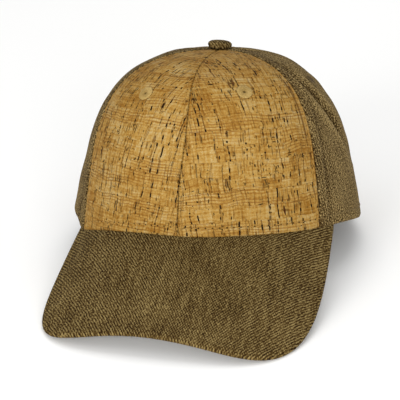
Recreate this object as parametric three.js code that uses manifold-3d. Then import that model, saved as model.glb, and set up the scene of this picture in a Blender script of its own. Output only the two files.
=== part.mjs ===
// Six-panel cap: two cork front gores, cloth side and back gores, a curved visor and a covered button.
// Millimetres, +Z up. The cap faces -Y and rests on its visor's corners and on the edge at its back.
import * as THREE from "three";
import { mergeVertices } from "three/addons/utils/BufferGeometryUtils.js";
import Module from "manifold-3d";

const wasm = await Module();
wasm.setup();

// Driving dimensions of the crown. Angles count from the front, positive to the wearer's left (+X).
const RIM_HALF_WIDTH = 89.5;
const RIM_FRONT = 86;
const RIM_BACK = 99;
const RIM_FRONT_POWER = 1.85;
const RIM_BACK_POWER = 2;
const RIM_LEVEL = -5.9;
const RIM_LEVEL_FROM = 110;
const RIM_LIFT = 6.9;
const RIM_LIFT_AZIMUTHS = { from: 55, full: 64, easing: 78, none: 135 };
const CROWN_HEIGHT = 96.1;
const APEX_X = 1.2;
const APEX_Y = 3.5;
const CROWN_HOLE_RADIUS = 3.4;
const CORK_WALL = 1.8;
const CLOTH_WALL = 1.4;
const PIECE_GAP = 0.3;

// How the wall runs up to the apex on each side of the crown: it leans in evenly by lean and bow,
// and rounds over into the top by rise and round.
const PROFILES = {
  front: { lean: 0, bow: -0.14, rise: 2.7, round: 3.2 },
  side: { lean: 0.2, bow: 0.12, rise: 6, round: 2.54 },
  back: { lean: 0.04, bow: 0.12, rise: 2.42, round: 2.35 },
};
const BACK_PROFILE_FROM = 75;

// The soft fold across the left side gore: where it runs at each share of the height, in degrees, and
// how deep it lies.
const FOLD = [
  { share: 0.3, azimuth: 98, depth: 0 },
  { share: 0.54, azimuth: 86, depth: 1.8 },
  { share: 0.72, azimuth: 74, depth: 2.4 },
  { share: 0.86, azimuth: 67.5, depth: 1.4 },
  { share: 0.96, azimuth: 64, depth: 0 },
];
const FOLD_HALF_WIDTH = 7.5;

// The seams between gores from the back's middle round the right side, the front and the left side,
// in degrees at the rim and at the apex.
const SEAMS = [
  { rim: -180, top: -180 },
  { rim: -120, top: -118 },
  { rim: -55.6, top: -54.5 },
  { rim: -4.3, top: 0 },
  { rim: 54.5, top: 54.4 },
  { rim: 120, top: 118 },
  { rim: 180, top: 180 },
];

// The gores between those seams, each with the place of its air hole: an azimuth in degrees and a
// share of the height.
const GORES = [
  { place: "back_right", hole: { azimuth: -149.2, share: 0.82 } },
  { place: "side_right", hole: { azimuth: -86, share: 0.82 } },
  { place: "front_right", hole: { azimuth: -24.5, share: 0.81 } },
  { place: "front_left", hole: { azimuth: 24.9, share: 0.83 } },
  { place: "side_left", hole: { azimuth: 86, share: 0.82 } },
  { place: "back_left", hole: { azimuth: 149.2, share: 0.82 } },
];

// Driving dimensions of the visor. On each side its arch has fallen by drop at a distance from the
// middle, less by the share ease for each length that it reaches forward. Its corners are the squarer
// the greater the corner power.
const VISOR_PITCH = 30;
const VISOR_LENGTH = 73.8;
const VISOR_LONGER_LEFT = 0.07;
const VISOR_END = 61;
const VISOR_SIDES = {
  left: { drop: 24.1, ease: 0.28, corner: 4.3 },
  right: { drop: 31.6, ease: 0.42, corner: 6.2 },
};
const VISOR_DROP_AT = 80;
const VISOR_DROP_POWER = 2.07;
const VISOR_DROP_EASE_LENGTH = 72;
const VISOR_BULGE = 1;
const VISOR_THICK = 3.2;

// The arched opening at the back, and the closing strap below it.
const ARCH_HALF_WIDTH = 45;
const ARCH_HEIGHT = 52;
const STRAP_HEIGHT = 24;
const STRAP_WALL = 1.4;
const STRAP_CLEARANCE = 0.8;
const STRAP_SEWN_TO = 61;
const STRAP_STEP_FROM = 37;
const STRAP_STEP_TO = 14;
const STRAP_LAP = 13;

// The button and the stitched air holes.
const BUTTON_RADIUS = 7.3;
const BUTTON_HEIGHT = 4.8;
const BUTTON_SHANK_RADIUS = 2.6;
const BUTTON_SHANK_LENGTH = 5;
const EYELET_RADIUS = 5;
const EYELET_HOLE_RADIUS = 1.4;
const EYELET_SLEEVE_RADIUS = 2.3;
const EYELET_THICK = 0.5;
const DRILL_LENGTH = 12;

// At rest the cap leans back and a little to its left, so that both visor corners and the back edge
// share one level.
const REST_PITCH = 9.93;
const REST_ROLL = 0.69;

// Grid counts.
const GORE_COLUMNS = 14;
const GORE_ROWS = 14;
const ARCH_COLUMNS = 8;
const VISOR_COLUMNS = 44;
const VISOR_ROWS = 8;
const STRAP_COLUMNS = 12;
const STRAP_ROWS = 2;
const ROUND_SEGMENTS = 16;

const RAD = Math.PI / 180;

// The small step, of a share, an angle or a length, over which a surface's directions are measured.
const STEP = 1e-3;
const { lerp, smoothstep } = THREE.MathUtils;

const signedPower = (value, exponent) => Math.sign(value) * Math.abs(value) ** exponent;

// An azimuth folded to between 0 at the front and 180 degrees at the back.
const folded = (t) => Math.abs(Math.atan2(Math.sin(t), Math.cos(t)));

// The rim in plan, a superellipse with a front and a back half, moved inwards by inset.
function rimPlan(t, inset) {
  const ahead = Math.cos(t) > 0;
  const exponent = 2 / (ahead ? RIM_FRONT_POWER : RIM_BACK_POWER);
  const depth = (ahead ? RIM_FRONT : RIM_BACK) - inset;
  const x = (RIM_HALF_WIDTH - inset) * signedPower(Math.sin(t), exponent);
  const y = -depth * signedPower(Math.cos(t), exponent);
  return { x, y };
}

const visorSide = (x) => (x > 0 ? VISOR_SIDES.left : VISOR_SIDES.right);

// Height of the visor's sloping, arched surface over a point of the plan; 0 at the rim's front.
function visorHeight(x, y) {
  const ahead = -RIM_FRONT - y;
  const { drop, ease } = visorSide(x);
  const arch = drop * (Math.abs(x) / VISOR_DROP_AT) ** VISOR_DROP_POWER;
  return -Math.tan(VISOR_PITCH * RAD) * ahead - arch * (1 - (ease * ahead) / VISOR_DROP_EASE_LENGTH);
}

// The rim's height: it follows the visor as far as the visor's end, then runs out to a level edge.
function rimHeight(t, inset) {
  const angle = folded(t);
  const end = VISOR_END * RAD;
  const { x, y } = rimPlan(Math.sign(Math.sin(t)) * Math.min(angle, end), inset);
  return lerp(visorHeight(x, y), RIM_LEVEL, smoothstep(angle, end, RIM_LEVEL_FROM * RAD));
}

// The profile at an azimuth, blended from the front's, the side's and the back's.
function profileAt(t) {
  const front = Math.max(Math.cos(t), 0) ** 2;
  const back = (1 - front) * smoothstep(folded(t), BACK_PROFILE_FROM * RAD, Math.PI);
  const side = 1 - front - back;
  const blend = (key) =>
    front * PROFILES.front[key] + side * PROFILES.side[key] + back * PROFILES.back[key];
  return { lean: blend("lean"), bow: blend("bow"), rise: blend("rise"), round: blend("round") };
}

// How far out from the apex the wall stands at a share of its height: 1 at the rim, 0 at the top.
function spread(t, share) {
  const { lean, bow, rise, round } = profileAt(t);
  return (1 - lean * share - bow * share ** 2) * (1 - share ** rise) ** (1 / round);
}

// How deep the fold across the left side gore lies at an azimuth and a share of the height.
function foldDepth(t, share) {
  const next = FOLD.findIndex((row) => row.share > share);
  if (next < 1) return 0;
  const [low, high] = FOLD.slice(next - 1, next + 1);
  const part = (share - low.share) / (high.share - low.share);
  const across = (t / RAD - lerp(low.azimuth, high.azimuth, part)) / FOLD_HALF_WIDTH;
  return lerp(low.depth, high.depth, part) * Math.exp(-(across ** 2));
}

// A point of the crown at an azimuth and a share of the height, moved inwards by inset.
function crownPoint(t, share, inset) {
  const { x, y } = rimPlan(t, inset);
  const out = spread(t, share) - foldDepth(t, share) / Math.hypot(x - APEX_X, y - APEX_Y);
  const low = rimHeight(t, inset);
  const z = lerp(low, CROWN_HEIGHT - inset, share);
  return new THREE.Vector3(lerp(APEX_X, x, out), lerp(APEX_Y, y, out), z);
}

// The outward direction square to the crown's outer surface.
function crownNormal(t, share) {
  const across = crownPoint(t + STEP, share, 0).sub(crownPoint(t - STEP, share, 0));
  const up = crownPoint(t, share + STEP, 0).sub(crownPoint(t, share - STEP, 0));
  return across.cross(up).normalize();
}

// The share of the height at which the wall is radius away from the apex in plan, by halving.
function shareAtRadius(t, radius, inset) {
  const { x, y } = rimPlan(t, inset);
  const full = Math.hypot(x - APEX_X, y - APEX_Y);
  let low = 0.5;
  let high = 1;
  for (let i = 0; i < 40; i++) {
    const middle = (low + high) / 2;
    if (spread(t, middle) * full > radius) low = middle;
    else high = middle;
  }
  return low;
}

// The share of the crown's height that stands a length above the rim.
const shareAtHeight = (t, height) => height / (CROWN_HEIGHT - rimHeight(t, 0));

// The azimuth, seen from the back's middle, at which the rim stands a distance x beside that middle.
function backAngleAt(x) {
  const sine = (Math.abs(x) / RIM_HALF_WIDTH) ** (RIM_BACK_POWER / 2);
  return Math.PI - Math.sign(x) * Math.asin(sine);
}

// A closed wall between an outer and an inner surface, each a function of two shares from 0 to 1.
// Seen from outside, the first share runs to the right and the second upwards.
function wallGeometry(columns, rows, outer, inner) {
  const positions = [];
  const faces = [];
  const width = rows + 1;
  const sheet = (columns + 1) * width;
  for (const surface of [outer, inner]) {
    for (let i = 0; i <= columns; i++) {
      for (let j = 0; j <= rows; j++) positions.push(...surface(i / columns, j / rows).toArray());
    }
  }
  const quad = (a, b, c, d) => faces.push(a, b, c, a, c, d);
  for (let i = 0; i < columns; i++) {
    for (let j = 0; j < rows; j++) {
      const at = i * width + j;
      quad(at, at + width, at + width + 1, at + 1);
      quad(sheet + at, sheet + at + 1, sheet + at + width + 1, sheet + at + width);
    }
    const low = i * width;
    const high = low + rows;
    quad(low, sheet + low, sheet + low + width, low + width);
    quad(high, high + width, sheet + high + width, sheet + high);
  }
  for (let j = 0; j < rows; j++) {
    const last = columns * width + j;
    quad(j, j + 1, sheet + j + 1, sheet + j);
    quad(last, sheet + last, sheet + last + 1, last + 1);
  }
  const geometry = new THREE.BufferGeometry();
  geometry.setAttribute("position", new THREE.Float32BufferAttribute(positions, 3));
  geometry.setIndex(faces);
  geometry.computeVertexNormals();
  return geometry;
}

// A closed body of revolution round the Z axis, from its half section as radius and height pairs.
function turnedGeometry(section) {
  const points = section.map(([radius, height]) => new THREE.Vector2(radius, height));
  return new THREE.LatheGeometry(points, ROUND_SEGMENTS).rotateX(Math.PI / 2);
}

// A solid for the boolean cut, from a closed geometry.
function solidOf(geometry) {
  const bare = geometry.clone();
  bare.deleteAttribute("normal");
  bare.deleteAttribute("uv");
  const merged = mergeVertices(bare, 1e-4);
  const vertProperties = merged.attributes.position.array;
  const triVerts = new Uint32Array(merged.index.array);
  return new wasm.Manifold(new wasm.Mesh({ numProp: 3, vertProperties, triVerts }));
}

// The geometry of a solid.
function geometryOf(solid) {
  const { vertProperties, triVerts } = solid.getMesh();
  const geometry = new THREE.BufferGeometry();
  geometry.setAttribute("position", new THREE.BufferAttribute(new Float32Array(vertProperties), 3));
  geometry.setIndex(new THREE.BufferAttribute(new Uint32Array(triVerts), 1));
  geometry.computeVertexNormals();
  return geometry;
}

const cork = new THREE.MeshStandardMaterial({ color: 0xa98446, roughness: 0.75, metalness: 0 });
const cloth = new THREE.MeshStandardMaterial({ color: 0x615038, roughness: 0.95, metalness: 0 });
const thread = new THREE.MeshStandardMaterial({ color: 0xbea569, roughness: 0.85, metalness: 0 });

const cap = new THREE.Group();

function addPiece(name, geometry, material) {
  const mesh = new THREE.Mesh(geometry, material);
  mesh.name = name;
  cap.add(mesh);
}

// Height above the rim at which the wall begins: an arch over the opening at the back, and a small
// rise in the right side's edge just behind the visor's end.
function footHeight(t) {
  const across = rimPlan(t, 0).x / ARCH_HALF_WIDTH;
  if (Math.abs(across) < 1 && Math.cos(t) < 0) return ARCH_HEIGHT * Math.sqrt(1 - across ** 2);
  if (t > 0) return 0;
  const { from, full, easing, none } = RIM_LIFT_AZIMUTHS;
  const azimuth = folded(t) / RAD;
  return RIM_LIFT * smoothstep(azimuth, from, full) * (1 - smoothstep(azimuth, easing, none));
}

// The azimuths at the rim of the lines that a gore is drawn through, from one seam to the next.
// Over the opening they crowd towards its upright end.
function goreLines(near, far) {
  const spaced = (count, from, to) =>
    Array.from({ length: count }, (_, i) => lerp(from, to, i / count));
  if (far.rim === 180) {
    const edge = backAngleAt(ARCH_HALF_WIDTH);
    const turns = spaced(ARCH_COLUMNS, 0, Math.PI / 2);
    const over = turns.map((turn) => backAngleAt(ARCH_HALF_WIDTH * Math.cos(turn)));
    return [...spaced(GORE_COLUMNS - ARCH_COLUMNS, near.rim * RAD, edge), ...over, Math.PI];
  }
  if (near.rim === -180) {
    const otherSide = goreLines({ rim: -far.rim }, { rim: 180 });
    return otherSide.map((angle) => -angle).reverse();
  }
  return [...spaced(GORE_COLUMNS, near.rim * RAD, far.rim * RAD), far.rim * RAD];
}

// A point of a gore on the line that starts at a rim azimuth, half a gap inside the gore's seams.
function gorePoint(near, far, rimAngle, share, inset) {
  const across = (rimAngle / RAD - near.rim) / (far.rim - near.rim);
  const angle = lerp(rimAngle, lerp(near.top, far.top, across) * RAD, share);
  const point = crownPoint(angle, share, inset);
  const radius = Math.hypot(point.x - APEX_X, point.y - APEX_Y);
  const turn = ((PIECE_GAP / 2) * (1 - 2 * across)) / radius;
  return crownPoint(angle + turn, share, inset);
}

// One side of a gore's wall, from its foot to the small hole round the apex.
function goreSurface(near, far, lines, inset) {
  return (u, v) => {
    const rimAngle = lines[Math.round(u * (lines.length - 1))];
    const low = shareAtHeight(rimAngle, footHeight(rimAngle));
    const top = shareAtRadius(rimAngle, CROWN_HOLE_RADIUS, inset);
    return gorePoint(near, far, rimAngle, lerp(low, top, Math.sin((v * Math.PI) / 2)), inset);
  };
}

// The stitched ring of an air hole: a low collar on the wall, with a sleeve through it.
function eyeletSection(wall) {
  const foot = PIECE_GAP;
  return [
    [EYELET_HOLE_RADIUS, -wall],
    [EYELET_SLEEVE_RADIUS, -wall],
    [EYELET_SLEEVE_RADIUS, foot],
    [EYELET_RADIUS, foot],
    [EYELET_RADIUS - EYELET_THICK / 2, foot + EYELET_THICK * 0.8],
    [EYELET_SLEEVE_RADIUS, foot + EYELET_THICK],
    [EYELET_HOLE_RADIUS, foot + EYELET_THICK / 2],
    [EYELET_HOLE_RADIUS, -wall],
  ];
}

// Stands a geometry made round the Z axis on the crown's outer surface, at the place of an air hole.
function stoodOnCrown(geometry, { azimuth, share }) {
  const upright = new THREE.Vector3(0, 0, 1);
  const normal = crownNormal(azimuth * RAD, share);
  const turn = new THREE.Quaternion().setFromUnitVectors(upright, normal);
  const { x, y, z } = crownPoint(azimuth * RAD, share, 0);
  return geometry.applyQuaternion(turn).translate(x, y, z);
}

// A gore, with its air hole and the ring in it.
function addGore({ place, hole }, near, far) {
  const front = place.startsWith("front");
  const thick = front ? CORK_WALL : CLOTH_WALL;
  const lines = goreLines(near, far);
  const outer = goreSurface(near, far, lines, 0);
  const inner = goreSurface(near, far, lines, thick);
  const wall = wallGeometry(lines.length - 1, GORE_ROWS, outer, inner);
  const drillRadius = EYELET_SLEEVE_RADIUS + PIECE_GAP;
  const drill = new THREE.CylinderGeometry(drillRadius, drillRadius, DRILL_LENGTH, ROUND_SEGMENTS);
  const cut = stoodOnCrown(drill.rotateX(Math.PI / 2), hole);
  const ring = stoodOnCrown(turnedGeometry(eyeletSection(thick)), hole);
  const [part, side] = place.split("_");
  const pierced = geometryOf(solidOf(wall).subtract(solidOf(cut)));
  addPiece(`${part}_panel_${side}`, pierced, front ? cork : cloth);
  addPiece(`eyelet_${place}`, ring, front ? thread : cloth);
}

// The visor's outline in plan, at an angle from straight ahead round the middle of the line that
// joins its ends: a superellipse, let out a little half way along its sides.
function visorOutline(angle) {
  const end = rimPlan(VISOR_END * RAD, 0);
  const length = VISOR_LENGTH * Math.cos(VISOR_PITCH * RAD) + RIM_FRONT + end.y;
  const { corner } = visorSide(angle);
  const sideways = Math.abs(Math.sin(angle) / end.x) ** corner;
  const forwards = Math.abs(Math.cos(angle) / length) ** corner;
  const radius = (sideways + forwards) ** (-1 / corner);
  const across = radius * Math.sin(angle);
  const ahead = radius * Math.cos(angle);
  const bulge = (4 * VISOR_BULGE * (ahead / length) * (1 - ahead / length) * across) / end.x;
  return { x: across + bulge, y: end.y - ahead * (1 + (VISOR_LONGER_LEFT * across) / end.x) };
}

// A side of the visor: it runs back from the outline to its root inside the front gores, and lies a
// depth below the surface that the gores stand on.
function visorSurface(depth) {
  return (u, v) => {
    const edge = visorOutline(lerp(-Math.PI / 2, Math.PI / 2, u));
    const root = rimPlan(lerp(-VISOR_END, VISOR_END, u) * RAD, CORK_WALL);
    const x = lerp(edge.x, root.x, v);
    const y = lerp(edge.y, root.y, v);
    const fallX = (visorHeight(x - STEP, y) - visorHeight(x + STEP, y)) / (2 * STEP);
    const fallY = (visorHeight(x, y - STEP) - visorHeight(x, y + STEP)) / (2 * STEP);
    const normal = new THREE.Vector3(fallX, fallY, 1).normalize();
    return new THREE.Vector3(x, y, visorHeight(x, y)).addScaledVector(normal, -depth);
  };
}

// A side of a strap that runs along the back edge between two distances from the cap's middle.
function strapSurface(from, to, insetAt) {
  return (u, v) => {
    const x = lerp(from, to, u);
    const angle = backAngleAt(x);
    return crownPoint(angle, v * shareAtHeight(angle, STRAP_HEIGHT), insetAt(x));
  };
}

// The left strap lies inside the gores. The right one starts there too, and steps out over its end.
function addStraps() {
  const inside = CLOTH_WALL + STRAP_CLEARANCE;
  const level = () => inside;
  const stepped = (x) => inside * smoothstep(-x, STRAP_STEP_TO, STRAP_STEP_FROM);
  const run = (from, to, insetAt) => {
    const outer = strapSurface(from, to, insetAt);
    const inner = strapSurface(from, to, (x) => insetAt(x) + STRAP_WALL);
    return wallGeometry(STRAP_COLUMNS, STRAP_ROWS, outer, inner);
  };
  addPiece("strap_left", run(STRAP_SEWN_TO, -STRAP_LAP, level), cloth);
  addPiece("strap_right", run(STRAP_LAP, -STRAP_SEWN_TO, stepped), cloth);
}

// The covered button, with its shank through the hole where the gores meet.
function buttonGeometry() {
  const top = CROWN_HEIGHT + PIECE_GAP;
  const section = [
    [0, top - BUTTON_SHANK_LENGTH],
    [BUTTON_SHANK_RADIUS, top - BUTTON_SHANK_LENGTH],
    [BUTTON_SHANK_RADIUS, top],
    [BUTTON_RADIUS * 0.92, top],
    [BUTTON_RADIUS, top + BUTTON_HEIGHT * 0.25],
    [BUTTON_RADIUS * 0.95, top + BUTTON_HEIGHT * 0.55],
    [BUTTON_RADIUS * 0.75, top + BUTTON_HEIGHT * 0.85],
    [BUTTON_RADIUS * 0.4, top + BUTTON_HEIGHT * 0.98],
    [0, top + BUTTON_HEIGHT],
  ];
  return turnedGeometry(section).translate(APEX_X, APEX_Y, 0);
}

GORES.forEach((gore, i) => addGore(gore, SEAMS[i], SEAMS[i + 1]));
const visorTop = visorSurface(PIECE_GAP);
const visorUnderside = visorSurface(PIECE_GAP + VISOR_THICK);
addPiece("visor", wallGeometry(VISOR_COLUMNS, VISOR_ROWS, visorTop, visorUnderside), cloth);
addPiece("top_button", buttonGeometry(), cloth);
addStraps();

// The cap as it rests. Its origin is the middle of its box's bottom.
cap.rotation.set(-REST_PITCH * RAD, REST_ROLL * RAD, 0);
const box = new THREE.Box3().setFromObject(cap, true);
const centre = box.getCenter(new THREE.Vector3());
cap.position.set(-centre.x, -centre.y, -box.min.z);

export default cap;
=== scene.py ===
"""A cap of six gores: two of cork fabric in front, four of cloth, a curved visor and a covered button.

Sizes in the classes are millimetres in the cap's own frame: the visor points along -Y, +X is the
wearer's left, and height 0 is where the crown's edge meets the visor in front. Meshes are metres in
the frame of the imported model, where the cap rests on its visor's corners and its back edge.
"""

import logging
import math
from dataclasses import dataclass, field
from enum import Enum
from typing import Any

import bpy
import numpy as np
from mathutils import Matrix, Vector


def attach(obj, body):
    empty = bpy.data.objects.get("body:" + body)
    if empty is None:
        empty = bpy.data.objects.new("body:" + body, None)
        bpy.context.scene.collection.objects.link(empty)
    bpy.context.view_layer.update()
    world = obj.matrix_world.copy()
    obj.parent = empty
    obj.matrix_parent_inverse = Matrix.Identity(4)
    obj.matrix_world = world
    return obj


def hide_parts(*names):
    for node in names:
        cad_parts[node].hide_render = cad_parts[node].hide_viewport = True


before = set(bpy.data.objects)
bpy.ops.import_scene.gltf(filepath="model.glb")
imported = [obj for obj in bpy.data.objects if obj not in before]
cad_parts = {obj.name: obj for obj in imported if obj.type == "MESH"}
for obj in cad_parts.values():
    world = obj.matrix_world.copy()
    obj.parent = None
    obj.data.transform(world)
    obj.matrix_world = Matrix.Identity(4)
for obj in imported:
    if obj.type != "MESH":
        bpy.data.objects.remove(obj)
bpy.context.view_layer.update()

Material, Node, Piece = bpy.types.Material, bpy.types.Node, bpy.types.Object
Socket, Tree = bpy.types.NodeSocket, bpy.types.NodeTree

LOG = logging.getLogger("cap")
MM = 0.001
BLACK, WHITE = (0.0, 0.0, 0.0, 1.0), (1.0, 1.0, 1.0, 1.0)

# The rows of stitches, in mm: one row's height above the foot, the other's distance from a seam, and
# how far apart the stitches are on cork, which tears at close holes, and on cloth.
HEM_ROW = 5.3
SEAM_ROW = 2.2
CORK_PITCH = 4.0
CLOTH_PITCH = 2.5

# Azimuth of the back's middle, in degrees.
BACK_MIDDLE = 180.0

# Points along a line on which stitches are placed.
LINE_POINTS = 400


class Side(Enum):
    """The wearer's side that a piece is on, as the sign of its x."""

    LEFT = 1
    RIGHT = -1


class Place(Enum):
    """Where round the crown a gore is."""

    FRONT = "front"
    SIDE = "side"
    BACK = "back"


def smooth_share(x: np.ndarray, low: float, high: float) -> np.ndarray:
    """The smooth step from 0 at low to 1 at high: 3s^2 - 2s^3 of the clipped share s.

    Args:
        x: Values to turn into shares.
        low: Where the step begins.
        high: Where it ends.

    Returns:
        Shares from 0 to 1.
    """
    s = np.clip((x - low) / (high - low), 0.0, 1.0)
    return s * s * (3.0 - 2.0 * s)


def signed_power(x: np.ndarray, exponent: float) -> np.ndarray:
    """The power of a value's size, with the value's sign."""
    return np.sign(x) * np.abs(x) ** exponent


def unit(v: np.ndarray) -> np.ndarray:
    """Vectors along the last axis, scaled to length 1."""
    return v / np.maximum(np.linalg.norm(v, axis=-1, keepdims=True), 1e-12)


def bell(x: np.ndarray, width: float) -> np.ndarray:
    """A soft bell, 1 at x = 0 and falling away on both sides: exp(-(x / width)^2)."""
    return np.exp(-((x / width) ** 2))


def run_along(points: np.ndarray, axis: int = 0) -> np.ndarray:
    """Length from the first point along lines of points, which run along an axis of the array."""
    steps = np.linalg.norm(np.diff(points, axis=axis), axis=-1)
    return np.insert(np.cumsum(steps, axis), 0, 0.0, axis)


def ripple(u: np.ndarray, v: np.ndarray, wavelength: float, seed: int) -> np.ndarray:
    """A soft uneven surface: the sum of plane waves of random direction, phase and length.

    Args:
        u: First coordinate, in mm.
        v: Second coordinate, in mm.
        wavelength: The middle wavelength, in mm.
        seed: Picks the waves.

    Returns:
        Heights of about unit size.
    """
    rng = np.random.default_rng(seed)
    count = 14
    turn = rng.uniform(0.0, math.pi, count)
    phase = rng.uniform(0.0, 2.0 * math.pi, count)
    number = 2.0 * math.pi / (wavelength * rng.uniform(0.65, 1.6, count))
    along = u[..., None] * np.cos(turn) + v[..., None] * np.sin(turn)
    return np.cos(along * number + phase).sum(-1) * math.sqrt(2.0 / count)


def crowded(count: int, both_ends: float) -> np.ndarray:
    """Shares from 0 to 1 that crowd towards both ends.

    Args:
        count: Number of steps.
        both_ends: How much narrower the end steps are, from 0 for even steps to nearly 1.

    Returns:
        count + 1 shares: s - c sin(2 pi s) / (2 pi), with c the crowding.
    """
    s = np.linspace(0.0, 1.0, count + 1)
    return s - both_ends * np.sin(2.0 * math.pi * s) / (2.0 * math.pi)


@dataclass(frozen=True)
class VisorSide:
    """How one side of the visor falls and how square its corner is."""

    drop: float
    ease: float
    corner: float


@dataclass(frozen=True)
class VisorForm:
    """The visor's sloping, arched surface and its outline."""

    pitch: float = 30.0
    length: float = 73.8
    longer_left: float = 0.07
    end: float = 61.0
    left: VisorSide = VisorSide(24.1, 0.28, 4.3)
    right: VisorSide = VisorSide(31.6, 0.42, 6.2)
    drop_at: float = 80.0
    drop_power: float = 2.07
    ease_length: float = 72.0
    bulge: float = 1.0
    thick: float = 3.2
    gap: float = 0.3
    rim_front: float = 86.0

    def height(self, x: np.ndarray, y: np.ndarray) -> np.ndarray:
        """Height over the plan: the slope's fall ahead of the rim, less an arch of |x| to a power.

        Args:
            x: Across, in mm.
            y: Along, in mm.

        Returns:
            Heights in mm, 0 at the middle of the rim's front.
        """
        ahead = -self.rim_front - y
        drop = np.where(x > 0, self.left.drop, self.right.drop)
        ease = np.where(x > 0, self.left.ease, self.right.ease)
        arch = drop * (np.abs(x) / self.drop_at) ** self.drop_power
        slope = math.tan(math.radians(self.pitch))
        return -slope * ahead - arch * (1.0 - ease * ahead / self.ease_length)

    def normal(self, x: np.ndarray, y: np.ndarray) -> np.ndarray:
        """Upward unit normals, from the height's central differences.

        Args:
            x: Across, in mm.
            y: Along, in mm.

        Returns:
            Unit vectors, with a last axis of 3.
        """
        step = 1e-3
        fall_x = (self.height(x - step, y) - self.height(x + step, y)) / (2 * step)
        fall_y = (self.height(x, y - step) - self.height(x, y + step)) / (2 * step)
        return unit(np.stack([fall_x, fall_y, np.ones_like(fall_x)], -1))

    def outline(self, angle: np.ndarray, end: tuple[float, float]) -> np.ndarray:
        """The outline in plan: a superellipse about the middle of the line between its ends.

        Its radius is (|sin a / half width|^n + |cos a / length|^n)^(-1/n), let out by a little half
        way along the sides and reaching further on the left.

        Args:
            angle: Angles from straight ahead, in radians.
            end: The left end of the visor in plan.

        Returns:
            Points (x, y), in mm.
        """
        end_x, end_y = end
        length = self.length * math.cos(math.radians(self.pitch)) + self.rim_front + end_y
        n = np.where(angle > 0, self.left.corner, self.right.corner)
        sideways = np.abs(np.sin(angle) / end_x) ** n
        forwards = np.abs(np.cos(angle) / length) ** n
        radius = (sideways + forwards) ** (-1.0 / n)
        across, ahead = radius * np.sin(angle), radius * np.cos(angle)
        share = ahead / length
        x = across + 4.0 * self.bulge * share * (1.0 - share) * across / end_x
        y = end_y - ahead * (1.0 + self.longer_left * across / end_x)
        return np.stack([x, y], -1)


@dataclass(frozen=True)
class Profile:
    """How the crown's wall leans in and rounds over on one side."""

    lean: float
    bow: float
    rise: float
    round: float


@dataclass(frozen=True)
class FoldRow:
    """Where the soft fold runs at one share of the height, and how deep it lies."""

    share: float
    azimuth: float
    depth: float


@dataclass(frozen=True)
class Band:
    """A soft band across a surface: where its middle is, its width and its strength."""

    at: float
    width: float
    strength: float = 1.0

    def across(self, x: np.ndarray) -> np.ndarray:
        """Its strength at x, as a bell about its middle."""
        return self.strength * bell(x - self.at, self.width)


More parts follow.
